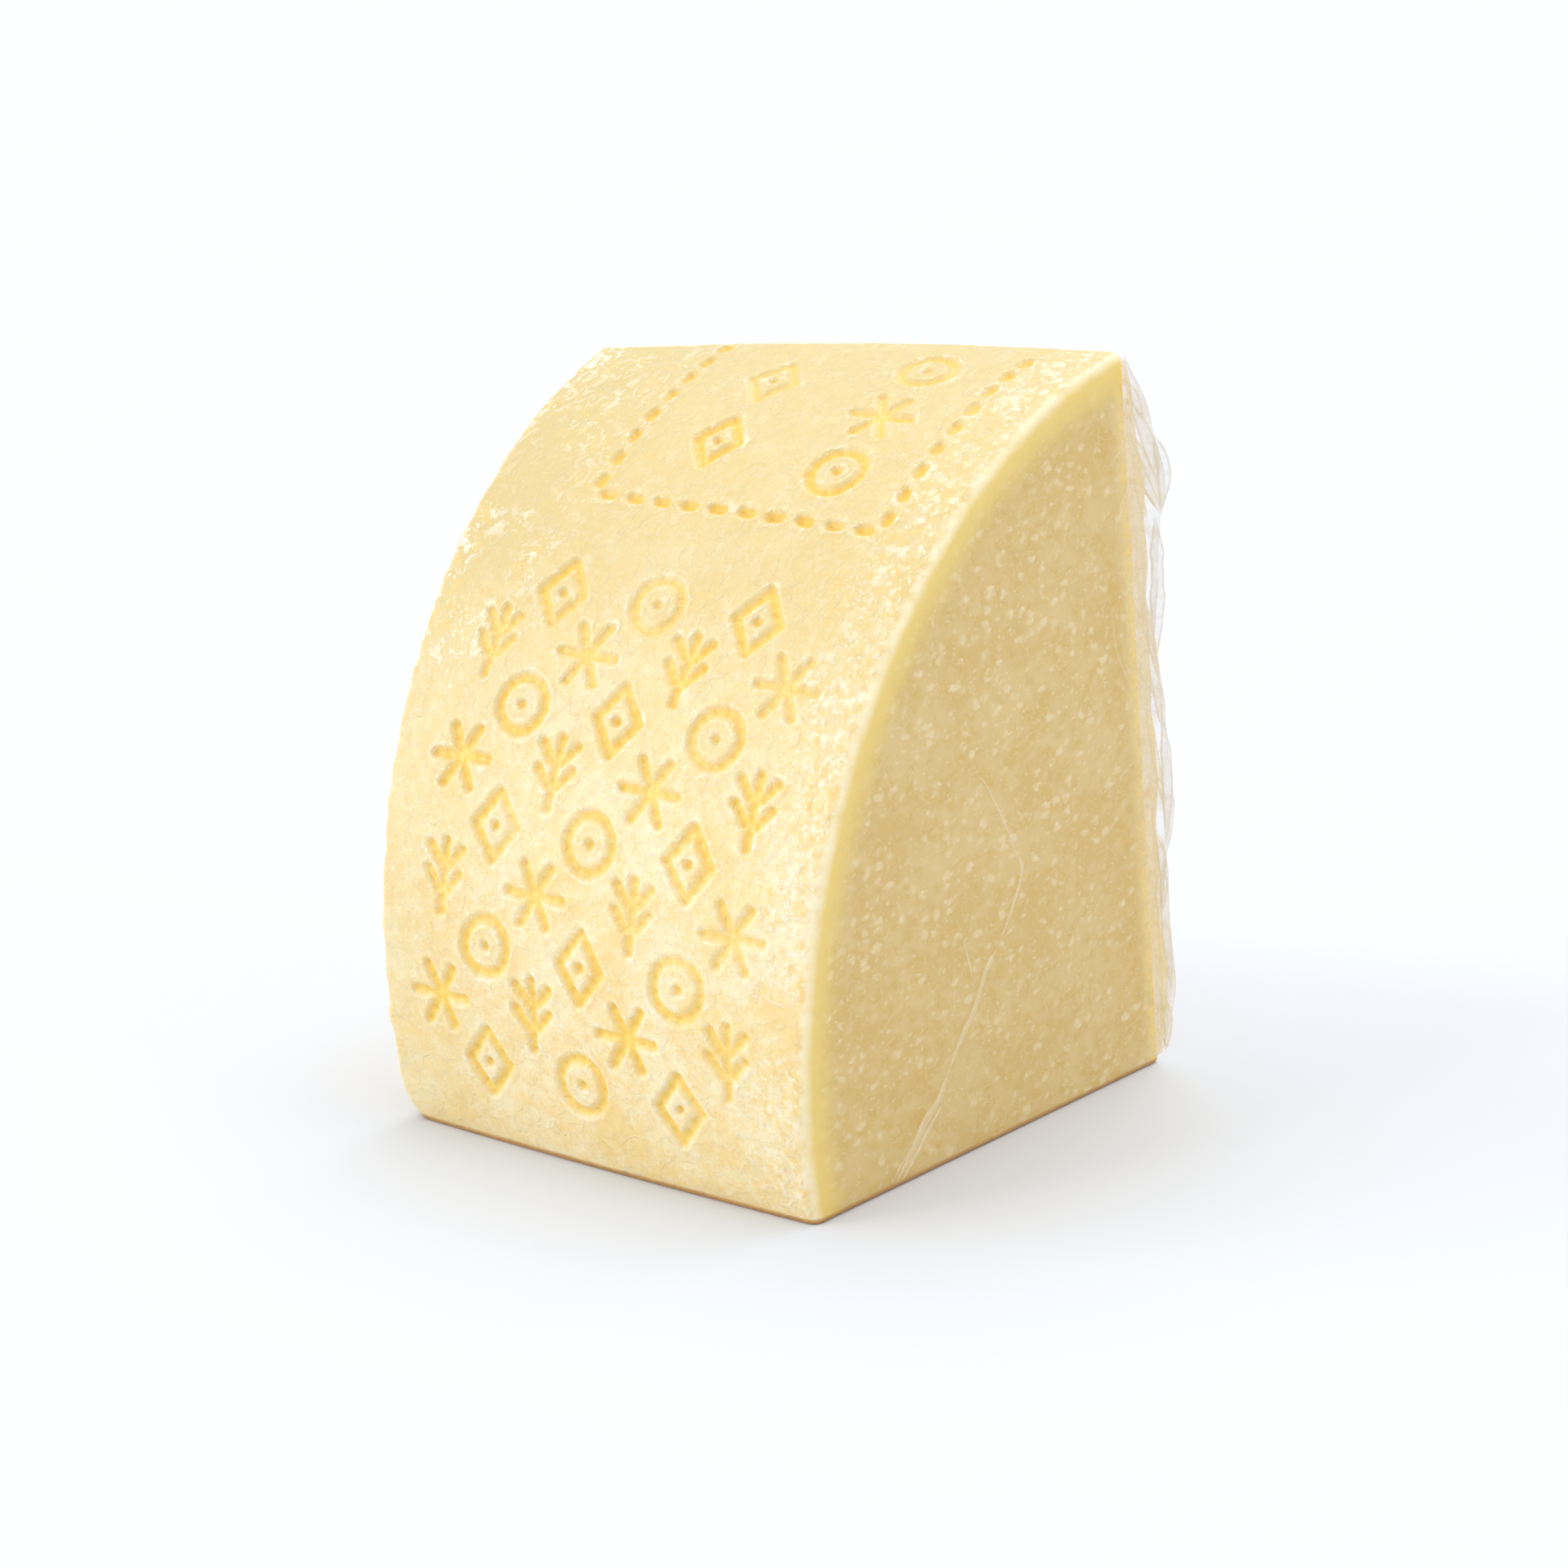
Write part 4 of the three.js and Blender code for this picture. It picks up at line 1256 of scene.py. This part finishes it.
class CHEESE_OT_cut_wedge(Operator):
    """Makes the wedge of cheese with its rind, its ornament and its cut faces"""

    bl_idname = "cheese.cut_wedge"
    bl_label = "Cut the wedge"

    def execute(self, context):
        scene = context.scene
        wedge = scene.cheese_wedge
        points, faces, values = wedge_surface(wedge, scene.cheese_ornament)
        finish = cheese_finish(scene.cheese_colours)
        piece = make_piece("cheese", points + wheel_to_frame(wedge), faces, finish, values)
        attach(piece, "root")
        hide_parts("cheese_wedge")
        return {"FINISHED"}


class CHEESE_OT_gather_film(Operator):
    """Makes the film that is gathered over the back and its right corner, with its pleats and creases"""

    bl_idname = "cheese.gather_film"
    bl_label = "Gather the film"

    def execute(self, context):
        scene = context.scene
        wedge, sizes = scene.cheese_wedge, scene.cheese_film
        material = film_finish(scene.cheese_colours)
        shift = wheel_to_frame(wedge)
        pleats = [
            leaf(wedge, sizes, knots, half, np.radians(turn), lift, haze, warm, columns=17)
            for knots, half, turn, lift, haze, warm in PLEATS
        ]
        creases = [
            leaf(
                wedge, sizes, knots, half, turn=CREASE_TURN, lift=0.35, veiled=haze, warm=0.5, columns=11,
                rimmed=0.30,
            )
            for knots, half, haze in CREASES
        ]
        for name, (points, faces, values) in (
            ("film_gathered", gathered_film(wedge, sizes)),
            ("film_pleats", joined(pleats)),
            ("film_creases", joined(creases + fine_creases(wedge, sizes))),
        ):
            piece = make_piece(name, points + shift, faces, material, values)
            piece.visible_shadow = False  # thin film lets the light through
            piece.visible_diffuse = False
            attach(piece, "root")
            if name == "film_gathered":
                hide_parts("film_wrap")
        return {"FINISHED"}


SENSOR_WIDTH = 36  # millimetres
FILM_LAYERS = 32  # surfaces of film that a line of sight may cross
LIGHTS = (  # name, turn and rise towards the light and its spread, in degrees; the share is a setting
    ("key", -48, 16, 50), ("back", -170, 66, 56), ("glint", -25, 48, 9), ("side", 96, 22, 14),
)


class CHEESE_OT_set_stage(Operator):
    """Sets the pale floor, the soft lights and the camera"""

    bl_idname = "cheese.set_stage"
    bl_label = "Set the stage"

    def execute(self, context):
        scene = context.scene
        settings = scene.cheese_stage
        mesh = bpy.data.meshes.new("floor")
        half = settings.floor_half
        corners = [(-half, -half, 0), (half, -half, 0), (half, half, 0), (-half, half, 0)]
        mesh.from_pydata(corners, [], [(0, 1, 2, 3)])
        mesh.materials.append(floor_finish(settings.floor_colour))
        floor = bpy.data.objects.new("floor", mesh)
        scene.collection.objects.link(floor)

        camera = bpy.data.objects.new("camera", bpy.data.cameras.new("camera"))
        camera.data.lens = settings.lens
        camera.data.sensor_width = SENSOR_WIDTH
        camera.data.clip_end = 4 * half
        camera.location = np.array(settings.camera_place) + wheel_to_frame(scene.cheese_wedge)
        camera.rotation_euler = (np.pi / 2 - settings.camera_pitch, 0, settings.camera_yaw)
        scene.collection.objects.link(camera)
        scene.camera = camera

        world = bpy.data.worlds.new("studio")
        world.use_nodes = True
        backdrop = world.node_tree.nodes["Background"]
        backdrop.inputs["Color"].default_value = (1, 1, 1, 1)
        backdrop.inputs["Strength"].default_value = settings.sky
        scene.world = world
        for name, turn, rise, spread in LIGHTS:
            lamp = bpy.data.lights.new(name, "SUN")
            lamp.angle = np.radians(spread)
            lamp.energy = np.pi * getattr(settings, name)
            light = bpy.data.objects.new(name, lamp)
            light.rotation_euler = (np.pi / 2 - np.radians(rise), 0, np.radians(turn))
            scene.collection.objects.link(light)
        scene.view_settings.view_transform = "Standard"
        scene.cycles.transparent_max_bounces = FILM_LAYERS
        return {"FINISHED"}


class VIEW3D_PT_cheese(Panel):
    """Lists the steps and the sizes and colours that they use"""

    bl_label = "Cheese wedge"
    bl_space_type = "VIEW_3D"
    bl_region_type = "UI"
    bl_category = "Cheese"

    def draw(self, context):
        layout = self.layout
        for step_class in STEPS:
            layout.operator(step_class.bl_idname)
        for name, group in SETTINGS.items():
            box = layout.box()
            for key in group.__annotations__:
                box.prop(getattr(context.scene, name), key)


STEPS = (CHEESE_OT_cut_wedge, CHEESE_OT_gather_film, CHEESE_OT_set_stage)
SETTINGS = {
    "cheese_wedge": WedgeSizes,
    "cheese_ornament": OrnamentSizes,
    "cheese_film": FilmSizes,
    "cheese_colours": FinishColours,
    "cheese_stage": StageSettings,
}


def register():
    for group in SETTINGS.values():
        bpy.utils.register_class(group)
    for name, group in SETTINGS.items():
        setattr(bpy.types.Scene, name, PointerProperty(type=group))
    for step_class in STEPS + (VIEW3D_PT_cheese,):
        bpy.utils.register_class(step_class)


def unregister():
    for step_class in reversed(STEPS + (VIEW3D_PT_cheese,)):
        bpy.utils.unregister_class(step_class)
    for name in SETTINGS:
        delattr(bpy.types.Scene, name)
    for group in SETTINGS.values():
        bpy.utils.unregister_class(group)


def main():
    """Takes the steps in order."""
    register()
    bpy.ops.cheese.cut_wedge()
    bpy.ops.cheese.gather_film()
    bpy.ops.cheese.set_stage()


if __name__ == "__main__":
    main()
